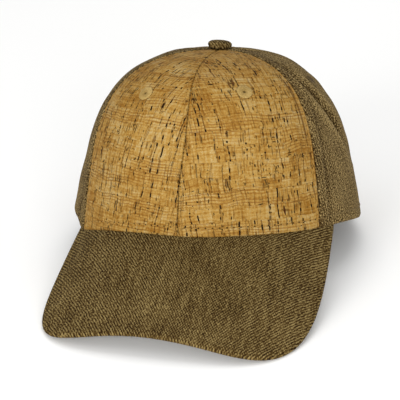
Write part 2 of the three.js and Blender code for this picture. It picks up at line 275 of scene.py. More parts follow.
@dataclass(frozen=True)
class CrownForm:
    """The crown's surface, from the rim's plan and a profile that changes round it."""

    half_width: float = 89.5
    front: float = 86.0
    back: float = 99.0
    front_power: float = 1.85
    back_power: float = 2.0
    level: float = -5.9
    level_from: float = 110.0
    height: float = 96.1
    apex: tuple[float, float] = (1.2, 3.5)
    hole: float = 3.4
    back_profile_from: float = 75.0
    profiles: tuple[Profile, Profile, Profile] = (
        Profile(0.0, -0.14, 2.7, 3.2), Profile(0.2, 0.12, 6.0, 2.54), Profile(0.04, 0.12, 2.42, 2.35)
    )
    fold: tuple[FoldRow, ...] = (
        FoldRow(0.3, 98.0, 0.0),
        FoldRow(0.54, 86.0, 1.8),
        FoldRow(0.72, 74.0, 2.4),
        FoldRow(0.86, 67.5, 1.4),
        FoldRow(0.96, 64.0, 0.0),
    )
    fold_half_width: float = 7.5
    fold_bands: tuple[Band, ...] = (Band(0.0, 4.0, -2.4), Band(-9.0, 4.5, 1.7), Band(9.0, 4.0, 1.2))
    # Painted shade in the fold's middle and painted light on the ridges beside it, as bands by the angle
    # from its line.
    fold_painted_light_and_shade: tuple[Band, ...] = (Band(0.0, 5.0, -1.0), Band(-9.5, 3.5, 0.6), Band(9.0, 3.5, 0.5))
    crest: Band = Band(116.0, 24.0)
    crest_bands: tuple[Band, ...] = (Band(0.93, 0.045, 0.75), Band(0.745, 0.05, -0.8))
    arch_half_width: float = 45.0
    arch_height: float = 52.0
    lift: float = 6.9
    lift_azimuths: tuple[float, float, float, float] = (55.0, 64.0, 78.0, 135.0)
    visor: VisorForm = VisorForm()

    def rim(self, t: np.ndarray, inset: float = 0.0) -> tuple[np.ndarray, np.ndarray]:
        """The rim in plan, a superellipse with a front and a back half.

        Args:
            t: Azimuths from the front, positive to the left, in radians.
            inset: Distance inwards, in mm.

        Returns:
            Its x and its y: the half axes times the signed powers 2/p of sin t and cos t.
        """
        ahead = np.cos(t) > 0
        exponent = 2.0 / np.where(ahead, self.front_power, self.back_power)
        depth = np.where(ahead, self.front, self.back) - inset
        x = (self.half_width - inset) * signed_power(np.sin(t), exponent)
        return x, -depth * signed_power(np.cos(t), exponent)

    def folded(self, t: np.ndarray) -> np.ndarray:
        """Azimuths as angles from 0 at the front to pi at the back."""
        return np.abs(np.arctan2(np.sin(t), np.cos(t)))

    def rim_height(self, t: np.ndarray, inset: float = 0.0) -> np.ndarray:
        """The rim's height: on the visor as far as its end, then smoothly to a level edge.

        Args:
            t: Azimuths, in radians.
            inset: Distance inwards, in mm.

        Returns:
            Heights, in mm.
        """
        end = math.radians(self.visor.end)
        angle = self.folded(t)
        x, y = self.rim(np.sign(np.sin(t)) * np.minimum(angle, end), inset)
        level = smooth_share(angle, end, math.radians(self.level_from))
        return self.visor.height(x, y) * (1.0 - level) + self.level * level

    def spread(self, t: np.ndarray, share: np.ndarray) -> np.ndarray:
        """How far out the wall stands: (1 - lean w - bow w^2)(1 - w^rise)^(1/round) of the share w.

        Args:
            t: Azimuths, in radians.
            share: Shares of the height.

        Returns:
            The part of the way from the apex to the rim.
        """
        front = np.maximum(np.cos(t), 0.0) ** 2
        back = (1.0 - front) * smooth_share(
            self.folded(t), math.radians(self.back_profile_from), math.pi
        )
        mix = list(zip((front, 1.0 - front - back, back), self.profiles))
        lean = sum(weight * profile.lean for weight, profile in mix)
        bow = sum(weight * profile.bow for weight, profile in mix)
        rise = sum(weight * profile.rise for weight, profile in mix)
        over = sum(weight * profile.round for weight, profile in mix)
        rounding = np.maximum(1.0 - share**rise, 0.0) ** (1.0 / over)
        return (1.0 - lean * share - bow * share**2) * rounding

    def fold_line(self, share: np.ndarray) -> tuple[np.ndarray, np.ndarray]:
        """The line of the left side's fold, straight between its rows.

        Args:
            share: Shares of the height.

        Returns:
            Its azimuth in degrees and its depth in mm.
        """
        shares = [row.share for row in self.fold]
        centre = np.interp(share, shares, [row.azimuth for row in self.fold])
        return centre, np.interp(share, shares, [row.depth for row in self.fold])

    def fold_depth(self, t: np.ndarray, share: np.ndarray) -> np.ndarray:
        """Depth of the left side's fold: a bell across a line that runs down and back."""
        centre, depth = self.fold_line(share)
        return depth * bell(np.degrees(t) - centre, self.fold_half_width)

    def beside_fold(self, t: np.ndarray, share: np.ndarray, bands: tuple[Band, ...]) -> np.ndarray:
        """Bands that follow the fold's line, in its middle and beside it, and fade with its depth.

        Args:
            t: Azimuths, in radians.
            share: Shares of the height.
            bands: Bands by the angle from the fold's line, in degrees.

        Returns:
            The sum of the bands' strengths.
        """
        centre, depth = self.fold_line(share)
        deepest = max(row.depth for row in self.fold)
        away = np.degrees(t) - centre
        return depth / deepest * sum(band.across(away) for band in bands)

    def crest_relief(self, t: np.ndarray, share: np.ndarray) -> np.ndarray:
        """A low swell near the top of the left side's back seam and a dip below it."""
        up = sum(band.across(share) for band in self.crest_bands)
        return self.crest.across(np.degrees(t)) * up

    def point(self, t: np.ndarray, share: np.ndarray, inset: float = 0.0) -> np.ndarray:
        """Points of the crown: the apex and the rim mixed by the spread, the height by the share.

        Args:
            t: Azimuths, in radians.
            share: Shares of the height, from 0 at the rim to 1 at the apex.
            inset: Distance inwards, in mm.

        Returns:
            Points, in mm.
        """
        x, y = self.rim(t, inset)
        apex_x, apex_y = self.apex
        reach = np.hypot(x - apex_x, y - apex_y)
        out = self.spread(t, share) - self.fold_depth(t, share) / reach
        low = self.rim_height(t, inset)
        z = low + (self.height - inset - low) * share
        return np.stack([apex_x + (x - apex_x) * out, apex_y + (y - apex_y) * out, z], -1)

    def normal(self, t: np.ndarray, share: np.ndarray) -> np.ndarray:
        """Outward unit normals, from the central differences across and up the wall.

        Args:
            t: Azimuths, in radians.
            share: Shares of the height.

        Returns:
            Unit vectors, with a last axis of 3.
        """
        step = 1e-3
        across = self.point(t + step, share) - self.point(t - step, share)
        up = self.point(t, share + step) - self.point(t, np.maximum(share - step, 0.0))
        return unit(np.cross(across, up))

    def share_at_radius(self, t: np.ndarray, radius: float) -> np.ndarray:
        """The share of the height at which the wall is a radius from the apex, by halving.

        Args:
            t: Azimuths, in radians.
            radius: Distance from the apex in plan, in mm.

        Returns:
            Shares of the height.
        """
        x, y = self.rim(t)
        reach = np.hypot(x - self.apex[0], y - self.apex[1])
        low, high = np.full_like(reach, 0.5), np.ones_like(reach)
        for _ in range(40):
            middle = (low + high) / 2
            outside = self.spread(t, middle) * reach > radius
            low, high = np.where(outside, middle, low), np.where(outside, high, middle)
        return low

    def share_at_height(self, t: np.ndarray, height: np.ndarray) -> np.ndarray:
        """The share of the crown's height that stands a length above the rim."""
        return height / (self.height - self.rim_height(t))

    def back_angle(self, x: np.ndarray) -> np.ndarray:
        """The azimuth near the back's middle at which the rim stands a distance x beside it."""
        sine = (np.abs(x) / self.half_width) ** (self.back_power / 2.0)
        return math.pi - np.sign(x) * np.arcsin(sine)

    def foot(self, t: np.ndarray) -> np.ndarray:
        """Height above the rim at which the wall begins: the back arch and the right edge's rise.

        Args:
            t: Azimuths, in radians.

        Returns:
            Heights, in mm.
        """
        x, _ = self.rim(t)
        across = np.clip(np.abs(x) / self.arch_half_width, 0.0, 1.0)
        arch = self.arch_height * np.sqrt(1.0 - across**2)
        azimuth = np.degrees(self.folded(t))
        start, full, easing, none = self.lift_azimuths
        lift = self.lift * smooth_share(azimuth, start, full)
        lift = lift * (1.0 - smooth_share(azimuth, easing, none)) * (np.sin(t) < 0)
        return np.where((np.cos(t) < 0) & (across < 1.0), arch, lift)


@dataclass(frozen=True)
class RestPose:
    """How the cap rests: leaning back and a little to its left, with its lowest points level."""

    pitch: float = 9.93
    roll: float = 0.69
    shift: tuple[float, float, float] = (-0.464, 29.688, 22.922)

    def place(self, points: np.ndarray) -> np.ndarray:
        """Turns the cap as it rests: back by the pitch, aside by the roll, then along by the shift.

        Args:
            points: Points in the cap's own frame, in mm.

        Returns:
            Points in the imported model's frame, in metres.
        """
        back = Matrix.Rotation(-math.radians(self.pitch), 3, "X")
        aside = Matrix.Rotation(math.radians(self.roll), 3, "Y")
        return (points @ np.array(back @ aside).T + np.array(self.shift)) * MM


REST = RestPose()


def grid_wall(
    outer: np.ndarray, inner: np.ndarray, kept: np.ndarray | None = None
) -> tuple[np.ndarray, np.ndarray, np.ndarray]:
    """A closed wall between two grids of points, open where cells aren't kept.

    Seen from outside, the grids' first index runs to the right and the second upwards. Along every
    border between a kept cell and one that isn't, a strip joins the two sheets.

    Args:
        outer: Points of the outer sheet, (columns + 1, rows + 1, 3).
        inner: Points of the inner sheet, of the same shape.
        kept: Which cells exist, (columns, rows); all by default.

    Returns:
        The points, the quads, and for each quad 0 on the outer sheet and the strips, 1 inside.
    """
    wide, high = outer.shape[0] - 1, outer.shape[1] - 1
    kept = np.ones((wide, high), bool) if kept is None else kept
    index = np.arange((wide + 1) * (high + 1)).reshape(wide + 1, high + 1)
    sheet = index.size
    a, b, c, d = index[:-1, :-1], index[1:, :-1], index[1:, 1:], index[:-1, 1:]
    front = np.stack([a, b, c, d], -1)[kept]
    back = np.stack([a, d, c, b], -1)[kept] + sheet
    padded = np.pad(kept, 1)
    strips = []
    left, right = padded[:-1, 1:-1], padded[1:, 1:-1]
    low, up = index[:, :-1], index[:, 1:]
    strips.append(np.stack([low, low + sheet, up + sheet, up], -1)[left & ~right])
    strips.append(np.stack([low, up, up + sheet, low + sheet], -1)[~left & right])
    below, above = padded[1:-1, :-1], padded[1:-1, 1:]
    near, far = index[:-1, :], index[1:, :]
    strips.append(np.stack([near, far, far + sheet, near + sheet], -1)[below & ~above])
    strips.append(np.stack([near, near + sheet, far + sheet, far], -1)[~below & above])
    quads = np.concatenate([front, *strips, back])
    inside = np.zeros(len(quads), int)
    inside[len(quads) - len(back) :] = 1
    points = np.concatenate([outer.reshape(-1, 3), inner.reshape(-1, 3)])
    return points, quads, inside


def ring_wall(section_points: np.ndarray) -> np.ndarray:
    """Quads of a closed band whose grid joins up with itself both ways.

    Args:
        section_points: Points (round, along the section, 3).

    Returns:
        Quads over the flattened points.
    """
    around, along = section_points.shape[:2]
    i, j = np.meshgrid(np.arange(around), np.arange(along), indexing="ij")
    i2, j2 = (i + 1) % around, (j + 1) % along
    corners = [i * along + j, i2 * along + j, i2 * along + j2, i * along + j2]
    return np.stack(corners, -1).reshape(-1, 4)


def capped_tube(rings: int, around: int) -> np.ndarray:
    """Quads of a tube of rings that is closed by a pole at each end.

    Seen from outside, a ring's points run to the right and the rings follow upwards. The points of
    the rings come first, ring by ring, then the start's pole and the end's.

    Args:
        rings: Number of rings.
        around: Number of points in a ring.

    Returns:
        Quads, in which those at the poles repeat the pole.
    """
    j = np.arange(around)
    j2 = (j + 1) % around
    low, high = (np.arange(rings - 1)[:, None] + up for up in (0, 1))
    corners = [low * around + j, low * around + j2, high * around + j2, high * around + j]
    sides = np.stack(corners, -1).reshape(-1, 4)
    last = (rings - 1) * around
    start, end = np.full(around, rings * around), np.full(around, rings * around + 1)
    near = np.stack([j2, j, start, start], -1)
    far = np.stack([last + j, last + j2, end, end], -1)
    return np.concatenate([sides, near, far])


def both_sheets(u: np.ndarray, v: np.ndarray) -> np.ndarray:
    """The values of a UV map on a wall's points, the same on its outer and its inner sheet."""
    return np.tile(np.stack(np.broadcast_arrays(u, v), -1).reshape(-1, 2), (2, 1))


def make_piece(
    name: str,
    points: np.ndarray,
    faces: np.ndarray,
    finishes: list[Material],
    face_finish: np.ndarray | None = None,
    maps: dict[str, np.ndarray] | None = None,
) -> Piece:
    """Puts a smooth mesh into the scene, with its object at the origin.

    Args:
        name: The piece's name.
        points: Points in the cap's own frame, in mm.
        faces: Quads as point numbers; a repeated number makes a triangle.
        finishes: Materials of the piece.
        face_finish: Number of each face's material.
        maps: UV maps, each with a value in mm for each point.

    Returns:
        The object.
    """
    mesh = bpy.data.meshes.new(name)
    placed = REST.place(points)
    used = np.zeros(len(placed), bool)
    used[faces] = True
    renumbered = np.cumsum(used) - 1
    faces = renumbered[faces]
    listed = [list(dict.fromkeys(face)) for face in faces.tolist()]
    mesh.from_pydata(placed[used].tolist(), [], listed)
    for material in finishes:
        mesh.materials.append(material)
    if face_finish is not None:
        mesh.polygons.foreach_set("material_index", face_finish.astype(np.int32))
    mesh.polygons.foreach_set("use_smooth", np.ones(len(faces), bool))
    corners = np.empty(len(mesh.loops), np.int32)
    mesh.loops.foreach_get("vertex_index", corners)
    for key, values in (maps or {}).items():
        layer = mesh.uv_layers.new(name=key)
        layer.data.foreach_set("uv", values[used][corners].astype(np.float32).ravel())
    mesh.update()
    piece = bpy.data.objects.new(name, mesh)
    bpy.context.scene.collection.objects.link(piece)
    return piece


def dress(piece: Piece, slot: str, *nodes: str) -> Piece:
    """Lets a piece ride on the cap and hides the solids that it stands for.

    Args:
        piece: The finished piece.
        slot: The material slot; not used.
        nodes: Nodes of the solids that it replaces.

    Returns:
        The same piece.
    """
    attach(piece, "root")
    if nodes:
        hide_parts(*nodes)
    LOG.info("%s: %d faces", piece.name, len(piece.data.polygons))
    return piece


def linear(colour: str) -> tuple[float, float, float, float]:
    """An sRGB colour as linear light: ((c + 0.055) / 1.055)^2.4, or c / 12.92 where it is dark.

    Args:
        colour: Six hexadecimal digits.

    Returns:
        Linear red, green and blue, and 1.
    """
    parts = [int(colour[i : i + 2], 16) / 255.0 for i in (0, 2, 4)]
    red, green, blue = (p / 12.92 if p <= 0.04045 else ((p + 0.055) / 1.055) ** 2.4 for p in parts)
    return red, green, blue, 1.0


def add_node(tree: Tree, kind: str, sockets: dict[Any, Any] | None = None, **settings: Any) -> Node:
    """Adds a node, sets its options, and fills or links its sockets.

    Args:
        tree: The material's node tree.
        kind: The node's type, without its prefix.
        sockets: Input name or number to a value, or to the socket to link from, or to the node
            whose first output is linked. Of a map range, 0 is the value, 1 and 2 are where it gives
            3 and 4, and those are 0 and 1 unless they are set.
        settings: The node's own options.

    Returns:
        The node.
    """
    made = tree.nodes.new("ShaderNode" + kind)
    for key, value in settings.items():
        setattr(made, key, value)
    for key, value in (sockets or {}).items():
        if isinstance(value, Node):
            tree.links.new(value.outputs[0], made.inputs[key])
        elif isinstance(value, Socket):
            tree.links.new(value, made.inputs[key])
        else:
            made.inputs[key].default_value = value
    return made


def new_material(name: str) -> tuple[Material, Tree]:
    """A material with an empty node tree.

    Args:
        name: The material's name.

    Returns:
        The material and its tree.
    """
    material = bpy.data.materials.new(name)
    material.use_nodes = True
    material.node_tree.nodes.clear()
    return material, material.node_tree


def needle_holes_and_seam_shade(tree: Tree) -> Socket:
    """Dark dots where the needle went through, on the maps Hem and Seam, and painted shade in the seam's
    fold.

    The maps hold a length along the row and the distance from the edge, in mm. A hole is where the
    length is near a whole number of stitches and the distance is near the row's; it fades out from
    0.3 to 0.65 mm from its middle. The fold fades out within 0.55 mm of the seam and opens and
    closes along it.

    Args:
        tree: The material's node tree.

    Returns:
        Strength from 0 to 1.
    """
    layers = []
    for name, row, depth in (("Hem", HEM_ROW, 0.85), ("Seam", SEAM_ROW, 0.3)):
        place = add_node(tree, "UVMap", uv_map=name)
        split = add_node(tree, "SeparateXYZ", {0: place})
        nearest = add_node(tree, "Math", {0: split, 1: CORK_PITCH / 2}, operation="PINGPONG")
        away = add_node(tree, "Math", {0: split.outputs[1], 1: row}, operation="SUBTRACT")
        both = add_node(tree, "CombineXYZ", {0: nearest, 1: away})
        distance = add_node(tree, "VectorMath", {0: both}, operation="LENGTH").outputs["Value"]
        layers.append(add_node(tree, "MapRange", {0: distance, 1: 0.65, 2: 0.3, 4: depth}))
    # The loop's last map, Seam, holds the fold too, darkened as painted shade.
    beside = add_node(tree, "MapRange", {0: split.outputs[1], 1: 0.55, 2: 0.15})
    gathers = add_node(tree, "TexNoise", {"Vector": place, "Scale": 0.55, "Detail": 3.0})
    opened = add_node(tree, "MapRange", {0: gathers, 1: 0.42, 2: 0.6, 3: 0.08, 4: 0.75})
    layers.append(add_node(tree, "Math", {0: beside, 1: opened}, operation="MULTIPLY"))
    holes = layers[0]
    for layer in layers[1:]:
        holes = add_node(tree, "Math", {0: holes, 1: layer}, operation="MAXIMUM")
    return holes.outputs[0]


@dataclass(frozen=True)
class Mark:
    """One kind of mark in cork: an upright ellipse, its size in mm and how many points have one."""

    width: float
    length: float
    density: float
    seed: float
    fill: float = 0.3


@dataclass(frozen=True)
class CorkFabric:
    """Cork fabric: shavings of cork bark glued to cloth in a patchwork of blocks.

    To the eye it is a matt golden tan with faint growth rings across, dark upright pores and
    cracks, and blocks of slightly different tone that the rings and the pores end at.
    """

    name: str = "cork_fabric"
    tones: tuple[str, str, str] = ("80571b", "9e7b3c", "a99160")
    ring: str = "79501e"
    crack_and_shade: str = "462407"
    pore_and_seam_shade: str = "140902"
    block_mm: tuple[float, float] = (27.0, 8.6)
    small_block_mm: tuple[float, float] = (11.5, 17.2)
    ring_spacing_mm: float = 1.7
    crack_spacing_mm: tuple[float, float] = (6.2, 3.1)
    pores: Mark = Mark(0.9, 6.4, 0.1, 0.0)
    short_pores: Mark = Mark(0.95, 2.6, 0.14, 7.3)
    slots: Mark = Mark(1.7, 6.5, 0.05, 3.9)
    bars: Mark = Mark(3.6, 0.7, 0.03, 5.7)
    specks: Mark = Mark(0.85, 0.95, 0.05, 11.7, 0.25)

    def marked(self, tree: Tree, place: Socket, plenty: Socket, mark: Mark) -> tuple[Socket, Socket]:
        """Marks round the points of a Voronoi lattice that is stretched to their shape.

        Args:
            tree: The material's node tree.
            place: Coordinates on the cork, in mm.
            plenty: Factor on the number of marks.
            mark: Their size and number.

        Returns:
            Their strength from 0 to 1, and the distance from their middles, 1 at the edge.
        """
        scale = (2 * mark.fill / mark.width, 2 * mark.fill / mark.length, 1.0)
        sockets = {0: place, 1: scale, 2: (mark.seed, mark.seed, 0.0)}
        placed = add_node(tree, "VectorMath", sockets, operation="MULTIPLY_ADD")
        cells = add_node(tree, "TexVoronoi", {"Vector": placed, "Scale": 1.0}, voronoi_dimensions="2D")
        chance = add_node(tree, "SeparateColor", {0: cells.outputs["Color"]})
        allowed = add_node(tree, "Math", {0: plenty, 1: mark.density}, operation="MULTIPLY")
        present = add_node(tree, "Math", {0: chance, 1: allowed}, operation="LESS_THAN")
        spot = add_node(tree, "MapRange", {0: cells, 1: mark.fill, 2: mark.fill * 0.6})
        power = add_node(tree, "MapRange", {0: chance.outputs[1], 3: 0.45})
        shown = add_node(tree, "Math", {0: spot, 1: present}, operation="MULTIPLY")
        strength = add_node(tree, "Math", {0: shown, 1: power}, operation="MULTIPLY")
        radius = add_node(tree, "Math", {0: cells, 1: mark.fill}, operation="DIVIDE")
        return strength.outputs[0], radius.outputs[0]

    def cracked(self, tree: Tree, place: Socket, spacing: float) -> tuple[Socket, Socket]:
        """Upright cracks with pores strung on them, on the lines of a one-way Voronoi lattice.

        Noise along each line breaks it, and a finer noise along it sets the pores.

        Args:
            tree: The material's node tree.
            place: Coordinates on the cork, in mm.
            spacing: About how far apart the lines are, in mm.

        Returns:
            The strength of the cracks and that of the pores, from 0 to 1.
        """
        split = add_node(tree, "SeparateXYZ", {0: place})
        wander = add_node(tree, "TexNoise", {"Vector": place, "Scale": 0.07})
        scaled = add_node(tree, "Math", {0: split, 1: 1.0 / spacing}, operation="MULTIPLY")
        sockets = {0: wander, 1: 1.6 / spacing, 2: scaled}
        across = add_node(tree, "Math", sockets, operation="MULTIPLY_ADD")
        sockets = {"W": across, "Scale": 1.0}
        lines = add_node(tree, "TexVoronoi", sockets, voronoi_dimensions="1D")
        chance = add_node(tree, "SeparateColor", {0: lines.outputs["Color"]})
        away = add_node(tree, "Math", {0: lines, 1: spacing}, operation="MULTIPLY")
        present = add_node(tree, "MapRange", {0: chance.outputs[1], 1: 0.1, 2: 0.5})
        strengths = []
        for length, half, span, full in (
            (10.0, (0.4, 0.14), (0.42, 0.52), 0.8), (3.4, (0.56, 0.34), (0.55, 0.6), 1.0)
        ):
            row = add_node(tree, "Math", {0: chance, 1: 90.0 + length}, operation="MULTIPLY")
            column = add_node(tree, "Math", {0: split.outputs[1], 1: 1.0 / length}, operation="MULTIPLY")
            at = add_node(tree, "CombineXYZ", {0: row, 1: column})
            sockets = {"Vector": at, "Scale": 1.0, "Detail": 1.0}
            noise = add_node(tree, "TexNoise", sockets, noise_dimensions="2D")
            shown = add_node(tree, "MapRange", {0: noise, 1: span[0], 2: span[1], 4: full})
            near = add_node(tree, "MapRange", {0: away, 1: half[0], 2: half[1]})
            both = add_node(tree, "Math", {0: shown, 1: near}, operation="MULTIPLY")
            both = add_node(tree, "Math", {0: both, 1: present}, operation="MULTIPLY")
            strengths.append(both.outputs[0])
        return strengths[0], strengths[1]

    def jumping(
        self, tree: Tree, place: Socket, number: Node, jump: tuple[float, float]
    ) -> tuple[Node, Socket]:
        """Random numbers for each block, and coordinates that jump from block to block.

        Args:
            tree: The material's node tree.
            place: Coordinates on the cork, in mm.
            number: The node that gives the block's number.
            jump: The largest jump each way, in mm.

        Returns:
            The node of the random numbers, and the coordinates.
        """
        chance = add_node(tree, "TexWhiteNoise", {"W": number}, noise_dimensions="1D")
        sockets = {0: chance.outputs["Color"], 1: (*jump, 0.0), 2: place}
        return chance, add_node(tree, "VectorMath", sockets, operation="MULTIPLY_ADD").outputs[0]

    def ground(self, tree: Tree, flat: Socket, own_place: Socket, block: Node) -> tuple[Socket, Node]:
        """The cork between its marks: clouds over the whole, and streaks, grit and bands by block.

        Args:
            tree: The material's node tree.
            flat: Coordinates on the cork, in mm.
            own_place: The same, jumping from block to block.
            block: The block's random number.

        Returns:
            The colour, and the grit for the bump.
        """
        drawn = [
            add_node(tree, "VectorMath", {0: own_place, 1: shape}, operation="MULTIPLY")
            for shape in ((0.8, 0.09, 1.0), (0.04, 0.7, 1.0))
        ]
        clouds = add_node(tree, "TexNoise", {"Vector": flat, "Scale": 0.04, "Detail": 5.0})
        streaks, bands = (
            add_node(tree, "TexNoise", {"Vector": place, "Scale": 1.0, "Detail": 3.0}) for place in drawn
        )
        grit = add_node(tree, "TexNoise", {"Vector": own_place, "Scale": 0.8, "Detail": 4.0})
        tone = add_node(tree, "Math", {0: block, 1: 0.12}, operation="MULTIPLY")
        for layer, weight in ((clouds, 0.35), (streaks, 0.55), (grit, 0.5), (bands, 0.65)):
            tone = add_node(tree, "Math", {0: layer, 1: weight, 2: tone}, operation="MULTIPLY_ADD")
        paleness = add_node(tree, "MapRange", {0: tone, 1: 0.9, 2: 1.32})
        ground = add_node(tree, "ValToRGB", {0: paleness})
        ramp = ground.color_ramp
        ramp.elements[0].color = linear(self.tones[0])
        ramp.elements[1].color = linear(self.tones[2])
        ramp.elements.new(0.5).color = linear(self.tones[1])
        return ground.outputs[0], grit

    def rings(self, tree: Tree, place: Socket) -> Socket:
        """Growth rings across the cork, faint in most places and stronger in bundles.

        Args:
            tree: The material's node tree.
            place: Coordinates on the cork, in mm.

        Returns:
            Their strength from 0 to 1.
        """
        waves = {
            "Vector": place,
            "Scale": math.pi / 10.0 / self.ring_spacing_mm,
            "Distortion": 5.0,
            "Detail": 3.0,
            "Detail Scale": 0.25,
            "Detail Roughness": 0.6,
        }
        ring = add_node(tree, "TexWave", waves, bands_direction="Y").outputs["Fac"]
        line = add_node(tree, "MapRange", {0: ring, 1: 0.6, 2: 1.0})
        drawn = add_node(tree, "VectorMath", {0: place, 1: (0.016, 0.11, 1.0)}, operation="MULTIPLY")
        bundles = add_node(tree, "TexNoise", {"Vector": drawn, "Scale": 1.0})
        amount = add_node(tree, "MapRange", {0: bundles, 1: 0.47, 2: 0.6, 3: 0.08, 4: 0.85})
        return add_node(tree, "Math", {0: line, 1: amount}, operation="MULTIPLY").outputs[0]

    def build(self) -> Material:
        """Builds the cork on the UV map Flat, whose unit is a millimetre along it.

        Returns:
            The material.
        """
        material, tree = new_material(self.name)
        flat = add_node(tree, "UVMap", uv_map="Flat").outputs[0]
        place = flat
        for scale, reach in ((0.05, 4.0), (0.25, 0.7)):
            wander = add_node(tree, "TexNoise", {"Vector": flat, "Scale": scale, "Detail": 2.0})
            sockets = {0: wander.outputs["Color"], 1: (reach, reach, 0.0), 2: place}
            place = add_node(tree, "VectorMath", sockets, operation="MULTIPLY_ADD").outputs[0]

        blocks, seams = [], []
        for (wide, high), offset in ((self.block_mm, 0.37), (self.small_block_mm, 0.61)):
            sockets = {
                "Vector": place,
                "Color1": BLACK,
                "Color2": WHITE,
                "Mortar": BLACK,
                "Scale": 1.0,
                "Brick Width": wide,
                "Row Height": high,
                "Mortar Size": 0.0,
            }
            options = {"offset": offset, "offset_frequency": 3, "squash": 1.6, "squash_frequency": 2}
            blocks.append(add_node(tree, "TexBrick", sockets, **options))
            sockets.update({"Mortar Size": 0.42, "Mortar Smooth": 1.0})
            seams.append(add_node(tree, "TexBrick", sockets, **options).outputs["Fac"])
        sockets = {0: blocks[0], 1: 0.62, 2: blocks[1]}
        number = add_node(tree, "Math", sockets, operation="MULTIPLY_ADD")
        block, own_place = self.jumping(tree, place, number, (400.0, 300.0))
        _, tall_place = self.jumping(tree, place, blocks[1], (500.0, 200.0))
        ground, grit = self.ground(tree, flat, own_place, block)
        rings = self.rings(tree, place)

        worn = add_node(tree, "TexNoise", {"Vector": flat, "Scale": 0.3, "Detail": 2.0})
        broken = add_node(tree, "MapRange", {0: worn, 1: 0.5, 2: 0.64, 4: 0.6})
        joints = add_node(tree, "Math", {0: seams[0], 1: seams[1]}, operation="MAXIMUM")
        joint = add_node(tree, "Math", {0: joints, 1: broken}, operation="MULTIPLY")

        drawn = add_node(tree, "VectorMath", {0: place, 1: (0.25, 0.012, 1.0)}, operation="MULTIPLY")
        columns = add_node(tree, "TexNoise", {"Vector": drawn, "Scale": 1.0})
        in_column = add_node(tree, "MapRange", {0: columns, 1: 0.42, 2: 0.6, 3: 0.35, 4: 2.0})
        chance = add_node(tree, "SeparateColor", {0: block.outputs["Color"]}).outputs[1]
        in_block = add_node(tree, "MapRange", {0: chance, 1: 0.3, 2: 1.0, 3: 0.15, 4: 2.3})
        plenty = add_node(tree, "Math", {0: in_block, 1: in_column}, operation="MULTIPLY").outputs[0]

        cracks, strung = self.cracked(tree, tall_place, self.crack_spacing_mm[0])
        fine_cracks, _ = self.cracked(tree, own_place, self.crack_spacing_mm[1])
        fine_cracks = add_node(tree, "Math", {0: fine_cracks, 1: 0.6}, operation="MULTIPLY")
        slots, slot_radius = self.marked(tree, own_place, plenty, self.slots)
        rim = add_node(tree, "MapRange", {0: slot_radius, 1: 0.45, 2: 0.7})
        dark = add_node(tree, "Math", {0: slots, 1: rim}, operation="MULTIPLY")
        # The needle holes' layer also carries painted shade in the seam's fold, drawn in the pore
        # colour.
        pores = [needle_holes_and_seam_shade(tree), strung]
        for mark in (self.pores, self.short_pores, self.bars, self.specks):
            pores.append(self.marked(tree, own_place, plenty, mark)[0])
        for layer in pores:
            dark = add_node(tree, "Math", {0: dark, 1: layer}, operation="MAXIMUM")
        brown = cracks
        for layer in (joint, fine_cracks, slots):
            brown = add_node(tree, "Math", {0: brown, 1: layer}, operation="MAXIMUM")

        # Painted shade on the cork at its edge with the cloth and along the left piece's creased line,
        # in the crack colour.
        painted_crease_shade = add_node(tree, "SeparateXYZ", {0: add_node(tree, "UVMap", uv_map="Nap")})
        paints = ((rings, self.ring), (brown, self.crack_and_shade), (dark, self.pore_and_seam_shade), (painted_crease_shade, self.crack_and_shade))
        colour = ground
        for strength, paint in paints:
            sockets = {0: strength, 6: colour, 7: linear(paint)}
            colour = add_node(tree, "Mix", sockets, data_type="RGBA").outputs[2]
        low = add_node(tree, "Math", {0: dark, 1: brown}, operation="MAXIMUM")
        relief = add_node(tree, "Math", {0: rings, 1: 0.4, 2: low}, operation="MULTIPLY_ADD")
        height = add_node(tree, "Math", {0: relief, 1: -1.0, 2: grit}, operation="MULTIPLY_ADD")
        bump = add_node(tree, "Bump", {"Height": height, "Strength": 0.7, "Distance": 0.3 * MM})
        finish = {"Base Color": colour, "Roughness": 0.7, "Specular IOR Level": 0.06, "Normal": bump}
        surface = add_node(tree, "BsdfPrincipled", finish)
        add_node(tree, "OutputMaterial", {0: surface})
        return material


